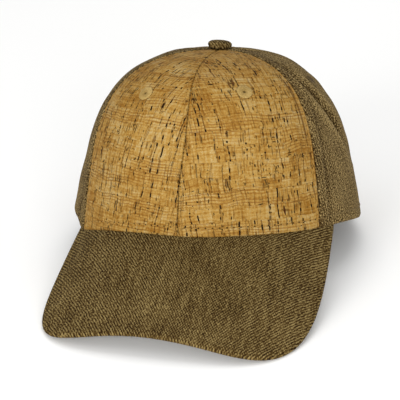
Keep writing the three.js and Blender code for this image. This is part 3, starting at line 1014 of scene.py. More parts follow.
@dataclass(frozen=True)
class MelangeTwill:
    """Cotton twill woven from mottled brown yarn: matt, with fine slanting ribs and pale flecks.

    The ribs slant one way on each side of the cloth's middle, where the two mix to a fine grid.
    """

    name: str
    rib_slants: tuple[float, float]
    # Drawn coarser than real: the ribs of such a twill are about 0.8 mm apart.
    rib_mm: float = 1.25
    rib_weight: float = 0.13
    fleck_mm: tuple[float, float] = (0.75, 1.7)
    fleck_weight: float = 1.6
    cloud_weight: float = 0.2
    slub_weight: float = 0.28
    # Weight of the painted light and shade from the gores' folds, creases and seam allowances.
    painted_light_and_shade_weight: float = 0.2
    bump_mm: float = 0.5
    tones: tuple[str, str, str] = ("1e1205", "483618", "8b784c")

    def ribs(self, tree: Tree, flat: Socket, jitter: Socket, slant: float) -> Socket:
        """Slanting ribs: the sine of the distance across them, shaken a little by noise.

        Args:
            tree: The material's node tree.
            flat: Coordinates on the cloth, in mm.
            jitter: Noise about 0.5 that shakes the ribs.
            slant: Direction of the ribs above the first coordinate, in degrees.

        Returns:
            Values from -1 to 1.
        """
        number = 2.0 * math.pi / self.rib_mm
        across = (-math.sin(math.radians(slant)) * number, math.cos(math.radians(slant)) * number)
        phase = add_node(tree, "VectorMath", {0: flat, 1: (*across, 0.0)}, operation="DOT_PRODUCT")
        sockets = {0: jitter, 1: 6.0, 2: phase.outputs["Value"]}
        shaken = add_node(tree, "Math", sockets, operation="MULTIPLY_ADD")
        return add_node(tree, "Math", {0: shaken}, operation="SINE").outputs[0]

    def flecks(self, tree: Tree, flat: Socket, slant: float) -> Socket:
        """Mottled yarn: noise that is drawn out along the ribs.

        Args:
            tree: The material's node tree.
            flat: Coordinates on the cloth, in mm.
            slant: Direction of the ribs above the first coordinate, in degrees.

        Returns:
            Values about 0.5.
        """
        across, along = self.fleck_mm
        sockets = {"Vector": flat, "Angle": -math.radians(slant)}
        turned = add_node(tree, "VectorRotate", sockets, rotation_type="Z_AXIS")
        sockets = {0: turned, 1: (1.0 / along, 1.0 / across, 1.0)}
        drawn = add_node(tree, "VectorMath", sockets, operation="MULTIPLY")
        sockets = {"Vector": drawn, "Scale": 1.0, "Detail": 2.0, "Roughness": 0.75}
        return add_node(tree, "TexNoise", sockets).outputs[0]

    def build(self) -> Material:
        """Builds the cloth on the UV map Flat, whose unit is a millimetre along it.

        Returns:
            The material.
        """
        material, tree = new_material(self.name)
        flat = add_node(tree, "UVMap", uv_map="Flat").outputs[0]
        jitter = add_node(tree, "TexNoise", {"Vector": flat, "Scale": 0.25, "Detail": 3.0}).outputs[0]
        split = add_node(tree, "SeparateXYZ", {0: flat})
        to_left = add_node(tree, "MapRange", {0: split, 1: -40.0, 2: 82.0})
        ribs = 0.0
        for slant, none, full in zip(self.rib_slants, (100.0, -60.0), (-20.0, 60.0)):
            amount = add_node(tree, "MapRange", {0: split, 1: none, 2: full})
            sockets = {0: self.ribs(tree, flat, jitter, slant), 1: amount, 2: ribs}
            ribs = add_node(tree, "Math", sockets, operation="MULTIPLY_ADD")
        first, second = (self.flecks(tree, flat, slant) for slant in self.rib_slants)
        flecks = add_node(tree, "Mix", {0: to_left, 2: first, 3: second})
        clouds = add_node(tree, "TexNoise", {"Vector": flat, "Scale": 0.05, "Detail": 4.0})
        drawn = add_node(tree, "VectorMath", {0: flat, 1: (0.4, 0.05, 1.0)}, operation="MULTIPLY")
        slubs = add_node(tree, "TexNoise", {"Vector": drawn, "Scale": 1.0, "Detail": 2.0})
        # Painted light and shade from the gores: paler where it is positive, darker where it is
        # negative.
        painted_light_and_shade = add_node(tree, "SeparateXYZ", {0: add_node(tree, "UVMap", uv_map="Nap")})
        tone = add_node(tree, "Math", {0: ribs, 1: self.rib_weight}, operation="MULTIPLY")
        weave = add_node(tree, "Math", {0: flecks, 1: tone}, operation="ADD")
        layers = (flecks, clouds, slubs, painted_light_and_shade)
        weights = (self.fleck_weight, self.cloud_weight, self.slub_weight, self.painted_light_and_shade_weight)
        for layer, weight in zip(layers, weights):
            tone = add_node(tree, "Math", {0: layer, 1: weight, 2: tone}, operation="MULTIPLY_ADD")
        middle = 0.5 * (self.fleck_weight + self.cloud_weight + self.slub_weight)
        share = add_node(tree, "MapRange", {0: tone, 1: middle - 0.3, 2: middle + 0.3})
        colour = add_node(tree, "ValToRGB", {0: share})
        ramp = colour.color_ramp
        ramp.elements[0].position, ramp.elements[0].color = 0.08, linear(self.tones[0])
        ramp.elements[1].position, ramp.elements[1].color = 0.92, linear(self.tones[2])
        ramp.elements.new(0.46).color = linear(self.tones[1])
        bump = add_node(tree, "Bump", {"Height": weave, "Strength": 0.8, "Distance": self.bump_mm * MM})
        finish = {"Base Color": colour, "Roughness": 0.85, "Specular IOR Level": 0.05, "Normal": bump}
        surface = add_node(tree, "BsdfPrincipled", finish)
        add_node(tree, "OutputMaterial", {0: surface})
        return material


@dataclass(frozen=True)
class SewingThread:
    """Spun polyester sewing thread: a soft sheen, with the twist too fine to show."""

    name: str
    colour: str
    shade: str

    def build(self) -> Material:
        """Builds the thread, varied by noise on the object's own coordinates.

        Returns:
            The material.
        """
        material, tree = new_material(self.name)
        place = add_node(tree, "TexCoord").outputs["Object"]
        noise = add_node(tree, "TexNoise", {"Vector": place, "Scale": 900.0, "Detail": 3.0})
        sockets = {0: noise, 6: linear(self.shade), 7: linear(self.colour)}
        mixed = add_node(tree, "Mix", sockets, data_type="RGBA").outputs[2]
        bump = add_node(tree, "Bump", {"Height": noise, "Strength": 0.4, "Distance": 0.1 * MM})
        finish = {"Base Color": mixed, "Roughness": 0.6, "Specular IOR Level": 0.12, "Normal": bump}
        surface = add_node(tree, "BsdfPrincipled", finish)
        add_node(tree, "OutputMaterial", {0: surface})
        return material


@dataclass(frozen=True)
class EmbroideredRing:
    """Threads sewn close together from a hole outwards: pale backs, with painted shade between them and
    towards the hole.
    """

    name: str
    colour: str
    shade: str

    def build(self) -> Material:
        """Builds the ring's thread on the UV map Threads, which counts the threads and gives the radius.

        Returns:
            The material.
        """
        material, tree = new_material(self.name)
        place = add_node(tree, "UVMap", uv_map="Threads")
        wander = add_node(tree, "TexNoise", {"Vector": place, "Scale": 0.9, "Detail": 3.0})
        split = add_node(tree, "SeparateXYZ", {0: place})
        shifted = add_node(tree, "Math", {0: wander, 1: 0.5, 2: split}, operation="MULTIPLY_ADD")
        between = add_node(tree, "Math", {0: shifted, 1: 0.5}, operation="PINGPONG")
        # Painted shade: darker in the lines between the threads and towards the hole.
        back = add_node(tree, "MapRange", {0: between, 1: 0.02, 2: 0.3})
        middle = add_node(tree, "MapRange", {0: split.outputs[1], 1: 0.9, 2: 2.2, 3: 0.3})
        uneven = add_node(tree, "MapRange", {0: wander, 1: 0.35, 2: 0.6, 3: 0.3})
        share = add_node(tree, "Math", {0: back, 1: middle}, operation="MULTIPLY")
        share = add_node(tree, "Math", {0: share, 1: uneven}, operation="MULTIPLY")
        sockets = {0: share, 6: linear(self.shade), 7: linear(self.colour)}
        mixed = add_node(tree, "Mix", sockets, data_type="RGBA").outputs[2]
        finish = {"Base Color": mixed, "Roughness": 0.6, "Specular IOR Level": 0.15}
        surface = add_node(tree, "BsdfPrincipled", finish)
        add_node(tree, "OutputMaterial", {0: surface})
        return material


@dataclass(frozen=True)
class Finishes:
    """Every material of the cap, built once."""

    cork: Material
    visor_cloth: Material
    side_cloth: Material
    pale_ring: Material
    brown_ring: Material
    brown_thread: Material
    cork_thread: Material

    @classmethod
    def make(cls) -> "Finishes":
        """Builds every material of the cap.

        Returns:
            The finishes, each built once.
        """
        return cls(
            cork=CorkFabric().build(),
            visor_cloth=MelangeTwill("visor_twill", (124.0, 52.0)).build(),
            side_cloth=MelangeTwill(
                "side_twill",
                (88.0, 92.0),
                rib_mm=1.9,
                rib_weight=0.06,
                fleck_mm=(0.72, 0.95),
                fleck_weight=2.3,
                slub_weight=0.25,
                bump_mm=0.25,
                tones=("1b1003", "513d1e", "a89160"),
            ).build(),
            pale_ring=EmbroideredRing("pale_embroidery_thread", "ae935a", "8a703b").build(),
            brown_ring=EmbroideredRing("brown_embroidery_thread", "75623a", "3f3018").build(),
            brown_thread=SewingThread("khaki_thread", "7d6a41", "4d3d20").build(),
            cork_thread=SewingThread("tan_thread", "a5803f", "8f6c34").build(),
        )


def sewn_row(
    crown: CrownForm, t: np.ndarray, share: np.ndarray, pitch: float
) -> tuple[np.ndarray, np.ndarray, np.ndarray]:
    """Places stitches evenly by length along a line on the crown.

    Args:
        crown: The crown's form.
        t: Azimuths of the line, in radians.
        share: Shares of the height of the line.
        pitch: About how far apart the stitches are, in mm.

    Returns:
        Their middles, directions and normals.
    """
    run = run_along(crown.point(t, share))
    count = max(round(run[-1] / pitch), 1)
    at = (np.arange(count) + 0.5) * run[-1] / count
    t_at, share_at = np.interp(at, run, t), np.interp(at, run, share)
    ends = [
        crown.point(np.interp(at + step, run, t), np.interp(at + step, run, share))
        for step in (-0.5, 0.5)
    ]
    return crown.point(t_at, share_at), unit(ends[1] - ends[0]), crown.normal(t_at, share_at)


def along_line(
    crown: CrownForm, t: np.ndarray, share: np.ndarray, at: np.ndarray, pitch: float
) -> np.ndarray:
    """Length along a line on the crown, stretched so that its whole is so many stitches.

    Args:
        crown: The crown that the line lies on.
        t: The line's azimuths, rising, in radians.
        share: Its shares of the height.
        at: Azimuths at which the length is wanted.
        pitch: Length of a stitch, in mm.

    Returns:
        The lengths, in mm.
    """
    run = run_along(crown.point(t, share))
    whole = max(round(run[-1] / pitch), 1) * pitch
    return np.interp(at, t, run) * whole / run[-1]


def make_stitches(
    name: str,
    centres: np.ndarray,
    along: np.ndarray,
    normals: np.ndarray,
    length: float,
    radius: float,
    finish: Material,
) -> Piece:
    """Stitches as short rounded rods, each one a ring of points moved along and drawn in at its ends.

    Args:
        name: The piece's name.
        centres: Middles of the stitches, in mm.
        along: Their directions.
        normals: Directions out of the cloth.
        length: Length of a stitch, in mm.
        radius: Radius of the thread, in mm.
        finish: The thread's material.

    Returns:
        The piece.
    """
    around, rings = 8, 6
    turn = np.linspace(0.0, math.pi, rings + 2)[1:-1, None]
    angle = np.linspace(0.0, 2 * math.pi, around, endpoint=False)[None, :]
    poles = np.array([-length / 2, length / 2])
    ring = radius * np.sin(turn) ** 0.5
    forward = np.append(-np.cos(turn) * length / 2 + 0 * angle, poles)
    outward = np.append(ring * np.cos(angle), 0 * poles)
    sideways = np.append(ring * np.sin(angle), 0 * poles)
    across = unit(np.cross(along, normals))
    points = (
        centres[:, None]
        + along[:, None] * forward[None, :, None]
        + normals[:, None] * outward[None, :, None]
        + across[:, None] * sideways[None, :, None]
    )
    first_points = np.arange(len(centres)) * (rings * around + len(poles))
    faces = capped_tube(rings, around)[None] + first_points[:, None, None]
    return make_piece(name, points.reshape(-1, 3), faces.reshape(-1, 4), [finish])


@dataclass(frozen=True)
class Seam:
    """A seam between gores, by its azimuth at the rim and at the apex, and its sway between them.

    The angles are in degrees.
    """

    rim: float
    top: float
    sway: float = 0.0


@dataclass(frozen=True)
class AirHole:
    """Where a gore's stitched air hole is: its azimuth in degrees and its share of the height."""

    azimuth: float
    share: float = 0.82


@dataclass(frozen=True)
class GoreGrid:
    """A gore's grid, columns by rows: its points on the crown and lengths along the cloth, in mm."""

    t: np.ndarray
    share: np.ndarray
    base: np.ndarray
    normal: np.ndarray
    run: np.ndarray
    rise: np.ndarray
    foot: np.ndarray

    @property
    def from_near(self) -> np.ndarray:
        """Distance from the seam at the lower azimuth."""
        return self.run

    @property
    def from_far(self) -> np.ndarray:
        """Distance from the seam at the higher azimuth."""
        return self.run[-1:] - self.run

    @property
    def from_seam(self) -> np.ndarray:
        """Distance from the nearer seam."""
        return np.minimum(self.from_near, self.from_far)

    @property
    def u(self) -> np.ndarray:
        """Distance from the line half way between the seams."""
        return self.run - 0.5 * self.run[-1:]

    @property
    def v(self) -> np.ndarray:
        """Length up the cloth, measured down from the top; 0 is at the middle column's foot."""
        return self.rise[len(self.rise) // 2, -1] - (self.rise[:, -1:] - self.rise)


@dataclass
class Gore:
    """One gore of the crown, with its seam allowances rolled in and its air hole left open."""

    place: Place
    side: Side
    near: Seam
    far: Seam
    air_hole: AirHole
    crown: CrownForm = field(default_factory=CrownForm)
    half_gap: float = 0.04
    sway: Band = Band(0.64, 0.25)
    columns: int = 84
    columns_crowded: float = 0.75
    arch_columns: int = 60
    arch_crowded: float = 0.5
    rows: int = 120
    rows_crowded: float = 0.35
    seam_roll: float = 1.7
    seam_depth: float = 0.75
    hem_dip: Band = Band(HEM_ROW, 0.9, -0.16)
    seam_dip: Band = Band(2.6, 1.0, -0.08)
    pucker: Band = Band(2.6, 1.0, 0.05)
    pucker_length: float = 5.5
    foot_roll: float = 1.3
    foot_depth: float = 0.55
    pucker_shake: tuple[float, float] = (2.0, 30.0)
    even_from_seam: tuple[float, float] = (3.0, 12.0)
    even_from_foot: tuple[float, float] = (6.0, 18.0)
    uneven_length: float = 34.0
    uneven_cork: float = 0.22
    uneven_cloth: float = 0.3
    eyelet_hole: float = 2.3
    # Painted shade along a creased line on the left cork piece, between the shares of the height given
    # below.
    painted_crease_shade: Band = Band(5.2, 0.7, 0.85)
    crease_low: tuple[float, float] = (0.5, 0.58)
    crease_high: tuple[float, float] = (0.84, 0.92)
    # Painted shade on the cork along its edge with the cloth.
    cork_edge_painted_shade: tuple[Band, ...] = (Band(0.0, 5.0, 0.08), Band(0.0, 1.0, 0.4))
    allowance: tuple[float, float] = (5.7, 7.1)
    allowance_rise: float = 0.45
    # Painted highlight where the seam allowances end on the cloth, and painted shade just beyond.
    allowance_painted_light_and_shade: tuple[Band, ...] = (Band(5.8, 0.8, 0.45), Band(8.2, 1.8, -0.3))
    # Painted shade on the side cloth near its seam with the front.
    front_seam_painted_shade: Band = Band(0.0, 14.0, -0.35)
    fold_from_seam: tuple[float, float] = (1.0, 8.0)
    foot_drop: float = 0.7
    foot_drop_reach: float = 4.0
    grain_lean: float = 8.0
    full_from_seam: tuple[float, float] = (0.0, 12.0)
    fullness: float = 0.5
    foot_fullness: float = 0.9
    foot_full_reach: float = 14.0
    cut_apart: tuple[float, float] = (230.0, 92.0)
    arch_row: float = 4.0
    rows_end: float = 14.0
    above_arch: float = 3.0
    stitch_radius: float = 0.3
    stitch_sink: float = 0.02

    @property
    def wall(self) -> float:
        """Thickness of the fabric, in mm."""
        return 1.8 if self.place is Place.FRONT else 1.4

    @property
    def stitch_pitch(self) -> float:
        """Distance from stitch to stitch, in mm."""
        return CORK_PITCH if self.place is Place.FRONT else CLOTH_PITCH

    @property
    def node(self) -> str:
        """The solid that this gore stands for."""
        return f"{self.place.value}_panel_{self.side.name.lower()}"

    def rim_angles(self) -> np.ndarray:
        """Azimuths of the gore's columns at the rim, crowding to the seams and to the arch's end.

        Returns:
            Azimuths, in radians.
        """
        near, far = math.radians(self.near.rim), math.radians(self.far.rim)
        if self.place is not Place.BACK:
            return near + (far - near) * crowded(self.columns, self.columns_crowded)
        edge = float(self.crown.back_angle(np.array(self.crown.arch_half_width)))
        beside = abs(near if self.side is Side.LEFT else far)
        wall = beside + (edge - beside) * crowded(self.columns - self.arch_columns, self.arch_crowded)
        turn = np.linspace(0.0, math.pi / 2, self.arch_columns + 1)[1:]
        over = self.crown.back_angle(self.crown.arch_half_width * np.cos(turn))
        angles = np.concatenate([wall, over])
        return angles if self.side is Side.LEFT else -angles[::-1]

    def azimuth(self, rim_angle: np.ndarray, share: np.ndarray) -> np.ndarray:
        """Azimuths of lines that start at rim azimuths and end at the apex's own seam azimuths.

        Args:
            rim_angle: Azimuths at the rim, in radians.
            share: Shares of the height.

        Returns:
            Azimuths, in radians.
        """
        across = (np.degrees(rim_angle) - self.near.rim) / (self.far.rim - self.near.rim)
        top = np.radians(self.near.top + (self.far.top - self.near.top) * across)
        sway = np.radians(self.near.sway + (self.far.sway - self.near.sway) * across)
        angle = rim_angle + (top - rim_angle) * share + sway * self.sway.across(share)
        point = self.crown.point(angle, share)
        radius = np.hypot(point[..., 0] - self.crown.apex[0], point[..., 1] - self.crown.apex[1])
        return angle + self.half_gap * (1.0 - 2.0 * across) / radius

    def arch_distance(self, t: np.ndarray, height: np.ndarray) -> np.ndarray:
        """Distance from the back arch, as the ellipse's value over its gradient's size.

        Args:
            t: Azimuths, in radians.
            height: Heights above the rim, in mm.

        Returns:
            Distances in mm, below 0 inside the arch.
        """
        x, _ = self.crown.rim(t)
        half, top = self.crown.arch_half_width, self.crown.arch_height
        value = np.sqrt((x / half) ** 2 + (height / top) ** 2)
        gradient = np.sqrt((x / half**2) ** 2 + (height / top**2) ** 2) / np.maximum(value, 1e-6)
        return (value - 1.0) / np.maximum(gradient, 1e-6)

    def hem_line(self, rise: float) -> tuple[np.ndarray, np.ndarray]:
        """A line above the gore's foot.

        Args:
            rise: Distance above the foot, in mm.

        Returns:
            Dense azimuths and shares of the height.
        """
        near, far = math.radians(self.near.rim), math.radians(self.far.rim)
        if self.place is Place.BACK:
            edge = float(self.crown.back_angle(np.array(self.crown.arch_half_width + rise)))
            near, far = (near, edge) if self.side is Side.LEFT else (-edge, far)
        rim_angle = np.linspace(near, far, LINE_POINTS)
        share = self.crown.share_at_height(rim_angle, self.crown.foot(rim_angle) + rise)
        return self.azimuth(rim_angle, share), share

    def seam_line(self, from_seam: float, far: bool) -> tuple[np.ndarray, np.ndarray]:
        """A line beside a seam, from above the foot to below the button.

        Args:
            from_seam: Distance from the seam, in mm.
            far: Whether it is the seam at the higher azimuth.

        Returns:
            Dense azimuths and shares of the height.
        """
        seam = self.far if far else self.near
        angle = np.array(math.radians(seam.rim))
        low = self.crown.share_at_height(angle, self.crown.foot(angle))
        if abs(seam.rim) == BACK_MIDDLE:
            low = self.crown.share_at_height(angle, np.array(self.crown.arch_height + self.above_arch))
        top = self.crown.share_at_radius(angle, self.rows_end)
        share = np.linspace(float(low), float(top), LINE_POINTS)
        t = self.azimuth(angle + 0.0 * share, share)
        step = 1e-3
        beside = self.crown.point(t + step, share) - self.crown.point(t, share)
        turn = step * from_seam / np.linalg.norm(beside, axis=-1)
        return t - turn if far else t + turn, share

    def arch_line(self, out: float) -> tuple[np.ndarray, np.ndarray]:
        """A line round the back arch, at a distance outside it.

        Args:
            out: Distance outside the arch, in mm.

        Returns:
            Dense azimuths and shares of the height.
        """
        turn = np.linspace(0.05, math.pi / 2 - 0.02, LINE_POINTS)
        crown = self.crown
        x = (crown.arch_half_width + out) * np.cos(turn) * self.side.value
        height = (crown.arch_height + out) * np.sin(turn)
        angle = crown.back_angle(x)
        angle = np.where(angle > math.pi, angle - 2 * math.pi, angle)
        return angle, crown.share_at_height(angle, height)

    def topstitch(self, finishes: Finishes) -> None:
        """Rows of stitches beside both seams, above the foot and round the arch.

        Args:
            finishes: The cap's materials.
        """
        front = self.place is Place.FRONT
        lines = [self.seam_line(SEAM_ROW, False), self.seam_line(SEAM_ROW, True), self.hem_line(HEM_ROW)]
        if self.place is Place.BACK:
            lines.append(self.arch_line(self.arch_row))
        rows = [sewn_row(self.crown, t, share, self.stitch_pitch) for t, share in lines]
        centres, along, normals = (np.concatenate(parts) for parts in zip(*rows))
        piece = make_stitches(
            f"{self.node}_topstitch",
            centres - normals * self.stitch_sink,
            along,
            normals,
            0.7 * self.stitch_pitch,
            self.stitch_radius,
            finishes.cork_thread if front else finishes.brown_thread,
        )
        dress(piece, "thread" if front else "cloth")

    def grid(self) -> GoreGrid:
        """The crown's surface between the seams, from the foot to the hole below the button.

        Returns:
            The gore's points, with what its relief and its shade are worked out from.
        """
        crown = self.crown
        rim_angle = self.rim_angles()[:, None]
        low = crown.share_at_height(rim_angle, crown.foot(rim_angle))
        top = crown.share_at_radius(rim_angle, crown.hole)
        row = crowded(self.rows, self.rows_crowded)[None, :]
        share = low + (top - low) * np.sin(row * math.pi / 2)
        t = self.azimuth(rim_angle + 0.0 * share, share)
        base = crown.point(t, share)
        # The surface has no normal at the apex itself.
        normal = crown.normal(t, np.minimum(share, 0.9985))
        run, rise = run_along(base, 0), run_along(base, 1)
        foot = rise
        if self.place is Place.BACK:
            height = share * (crown.height - crown.rim_height(t))
            foot = np.minimum(rise, np.maximum(self.arch_distance(t, height), 0.0))
        if self.place is Place.SIDE:
            base[..., 2] -= self.foot_drop * np.exp(-foot / self.foot_drop_reach)
        return GoreGrid(t, share, base, normal, run, rise, foot)

    def relief(self, grid: GoreGrid) -> np.ndarray:
        """How far the fabric stands off the crown's surface, outwards, in mm.

        The fabric rolls in along both seams and the foot, dips a little along the row of stitches
        above the foot and beside the seams, puckers there, and lies a little uneven all over. Cloth
        stands up over the seam allowances, and on the left it has its fold and its swell.

        Args:
            grid: The gore's points and lengths.

        Returns:
            A height for each point.
        """
        from_seam, foot, u, v = grid.from_seam, grid.foot, grid.u, grid.v
        front, left = self.place is Place.FRONT, self.side is Side.LEFT
        relief = -self.seam_depth * np.clip(1.0 - from_seam / self.seam_roll, 0.0, 1.0) ** 2
        relief -= self.foot_depth * np.clip(1.0 - foot / self.foot_roll, 0.0, 1.0) ** 2
        relief += self.hem_dip.across(foot)
        shake, shake_length = self.pucker_shake
        shaken = shake * ripple(v, 0.0 * u, shake_length, 5)
        gathers = np.cos(2.0 * math.pi * v / self.pucker_length + shaken)
        relief += self.pucker.across(from_seam) * gathers + self.seam_dip.across(from_seam)
        uneven = self.uneven_cork if front else self.uneven_cloth
        calm = smooth_share(from_seam, *self.even_from_seam) * smooth_share(foot, *self.even_from_foot)
        seed = 11 + len(self.node) + self.side.value
        relief += uneven * calm * ripple(u, v, self.uneven_length, seed)
        if not front:
            relief += self.allowance_rise * (1.0 - smooth_share(from_seam, *self.allowance))
        if self.place is Place.SIDE and left:
            fold = self.crown.beside_fold(grid.t, grid.share, self.crown.fold_bands)
            relief += smooth_share(from_seam, *self.fold_from_seam) * fold
        if not front and left:
            relief += self.crown.crest_relief(grid.t, grid.share)
        if self.place is Place.SIDE and not left:
            full = self.fullness + self.foot_fullness * np.exp(-foot / self.foot_full_reach)
            relief += smooth_share(from_seam, *self.full_from_seam) * full
        return relief

    def shade(self, grid: GoreGrid) -> np.ndarray:
        """How much paler or darker the fabric's colour is painted, in place of light and shade.

        Cork gets painted shade at its edge with the cloth and along a creased line on the left piece.
        Cloth gets a painted highlight at the end of its seam allowances and painted shade just beyond
        it, painted shade near the front seam on the side pieces, and painted shade in the fold with
        painted light on the ridges beside it.

        Args:
            grid: The gore's points and lengths.

        Returns:
            The value, for each point, of the map of painted light and shade.
        """
        from_seam, share = grid.from_seam, grid.share
        left = self.side is Side.LEFT
        if self.place is Place.FRONT:
            from_cloth = grid.from_far if left else grid.from_near
            shade = sum(band.across(from_cloth) for band in self.cork_edge_painted_shade)
            if left:
                upper = smooth_share(share, *self.crease_low)
                upper = upper * (1.0 - smooth_share(share, *self.crease_high))
                shade += upper * self.painted_crease_shade.across(from_cloth)
            return shade
        shade = sum(band.across(from_seam) for band in self.allowance_painted_light_and_shade)
        if self.place is Place.SIDE:
            shade += self.front_seam_painted_shade.across(grid.from_near if left else grid.from_far)
        if self.place is Place.SIDE and left:
            fold = self.crown.beside_fold(grid.t, share, self.crown.fold_painted_light_and_shade)
            shade += smooth_share(from_seam, *self.fold_from_seam) * fold
        return shade

    def maps(self, grid: GoreGrid) -> dict[str, np.ndarray]:
        """The UV maps: Flat along the cloth, Hem and Seam along the rows of stitches, and painted light
        and shade.

        Args:
            grid: The gore's points.

        Returns:
            Each map's values, by its name.
        """
        cut_u, cut_v = (apart * self.side.value for apart in self.cut_apart)
        lean = math.radians(self.grain_lean * self.side.value) if self.place is Place.FRONT else 0.0
        grain_u = grid.u * math.cos(lean) + grid.v * math.sin(lean)
        grain_v = grid.v * math.cos(lean) - grid.u * math.sin(lean)
        rim_t = grid.t[:, :1]
        hem_run = along_line(self.crown, *self.hem_line(HEM_ROW), rim_t, self.stitch_pitch)
        far_half = np.arange(len(rim_t))[:, None] > len(rim_t) // 2
        seam_run = np.where(far_half, grid.rise[-1:], grid.rise[:1])
        return {
            "Flat": both_sheets(grain_u + cut_u, grain_v + cut_v),
            "Hem": both_sheets(hem_run, grid.foot),
            "Seam": both_sheets(seam_run, grid.from_seam),
            # Painted light and shade, for the materials to read.
            "Nap": both_sheets(self.shade(grid), np.array(0.0)),
        }

    def build(self, finishes: Finishes) -> Piece:
        """The gore: the crown's surface with relief along its normals, and an inner sheet.

        Args:
            finishes: The cap's materials.

        Returns:
            The piece.
        """
        grid = self.grid()
        outer = grid.base + grid.normal * self.relief(grid)[..., None]
        inner = outer - grid.normal * self.wall
        hole = self.air_hole
        eyelet = self.crown.point(np.array(math.radians(hole.azimuth)), np.array(hole.share))
        cell = (outer[:-1, :-1] + outer[1:, 1:] + outer[:-1, 1:] + outer[1:, :-1]) / 4
        kept = np.linalg.norm(cell - eyelet, axis=-1) > self.eyelet_hole
        points, quads, inside = grid_wall(outer, inner, kept)
        front = self.place is Place.FRONT
        cloths = [finishes.cork if front else finishes.side_cloth, finishes.side_cloth]
        piece = make_piece(f"{self.node}_fabric", points, quads, cloths, inside, self.maps(grid))
        self.topstitch(finishes)
        return dress(piece, "cork" if front else "cloth", self.node)


@dataclass
class Eyelet:
    """A stitched air hole: a low ring of radial thread over the hole's edge, with its sleeve."""

    gore: Gore
    radius: float = 4.6
    hole: float = 0.8
    sleeve: float = 2.2
    edge_height: float = 0.12
    sunk: float = 0.05
    lift: float = 0.6
    lift_on_cloth: float = 0.35
    arch_span: tuple[float, float] = (0.03, 0.89)
    arch_power: float = 0.6
    uneven_from: float = 3.0
    thread_height: float = 0.28
    threads: int = 28
    around: int = 224
    along: int = 22

    def build(self, finishes: Finishes) -> Piece:
        """The ring: a closed section carried round the hole, with its top ribbed by the threads.

        The top's height over the cloth is the lift times a power of sin(pi a), where a runs over
        the arch's span from the outer edge to the hole, and each thread adds a small |sin| of the
        angle. The outer part isn't quite round.

        Args:
            finishes: The cap's materials.

        Returns:
            The piece.
        """
        crown = self.gore.crown
        t0 = np.array(math.radians(self.gore.air_hole.azimuth))
        share0 = np.array(self.gore.air_hole.share)
        angle = np.linspace(0.0, 2 * math.pi, self.around, endpoint=False)[:, None]
        s = np.linspace(0.0, 1.0, self.along)
        top_r = self.radius + (self.hole - self.radius) * s
        front = self.gore.place is Place.FRONT
        lift = self.lift if front else self.lift_on_cloth
        arch = np.sin(math.pi * np.linspace(*self.arch_span, self.along)) ** self.arch_power
        top_h = self.edge_height + lift * arch
        section_r = np.concatenate([top_r, [self.hole, self.sleeve, self.sleeve]])
        section_h = np.concatenate([top_h, [-self.gore.wall, -self.gore.wall, -self.sunk]])
        ribbed = np.concatenate([np.sin(math.pi * s) ** 0.5, np.zeros(3)])
        uneven = 1.0 + 0.02 * np.sin(3 * angle + 0.7) + 0.012 * np.sin(7 * angle)
        thread = np.abs(np.sin(angle * self.threads / 2))
        radius = section_r[None, :] * (1.0 + (uneven - 1.0) * (section_r > self.uneven_from)[None, :])
        height = section_h[None, :] + self.thread_height * thread * ribbed[None, :]
        x, y = radius * np.cos(angle), radius * np.sin(angle)
        threads = np.stack([angle * self.threads / (2 * math.pi) + 0 * radius, radius], -1)
        step = 1e-3
        along_t = (crown.point(t0 + step, share0) - crown.point(t0 - step, share0)) / (2 * step)
        along_w = (crown.point(t0, share0 + step) - crown.point(t0, share0 - step)) / (2 * step)
        e1 = unit(along_t)
        e2 = unit(along_w - (along_w @ e1) * e1)
        d_share = y / (along_w @ e2)
        d_t = (x - d_share * (along_w @ e1)) / (along_t @ e1)
        base = crown.point(t0 + d_t, share0 + d_share)
        points = base + crown.normal(t0 + d_t, share0 + d_share) * height[..., None]
        name = f"eyelet_{self.gore.place.value}_{self.gore.side.name.lower()}"
        piece = make_piece(
            f"{name}_stitching",
            points.reshape(-1, 3),
            ring_wall(points),
            [finishes.pale_ring if front else finishes.brown_ring],
            maps={"Threads": threads.reshape(-1, 2)},
        )
        return dress(piece, "thread" if front else "cloth", name)


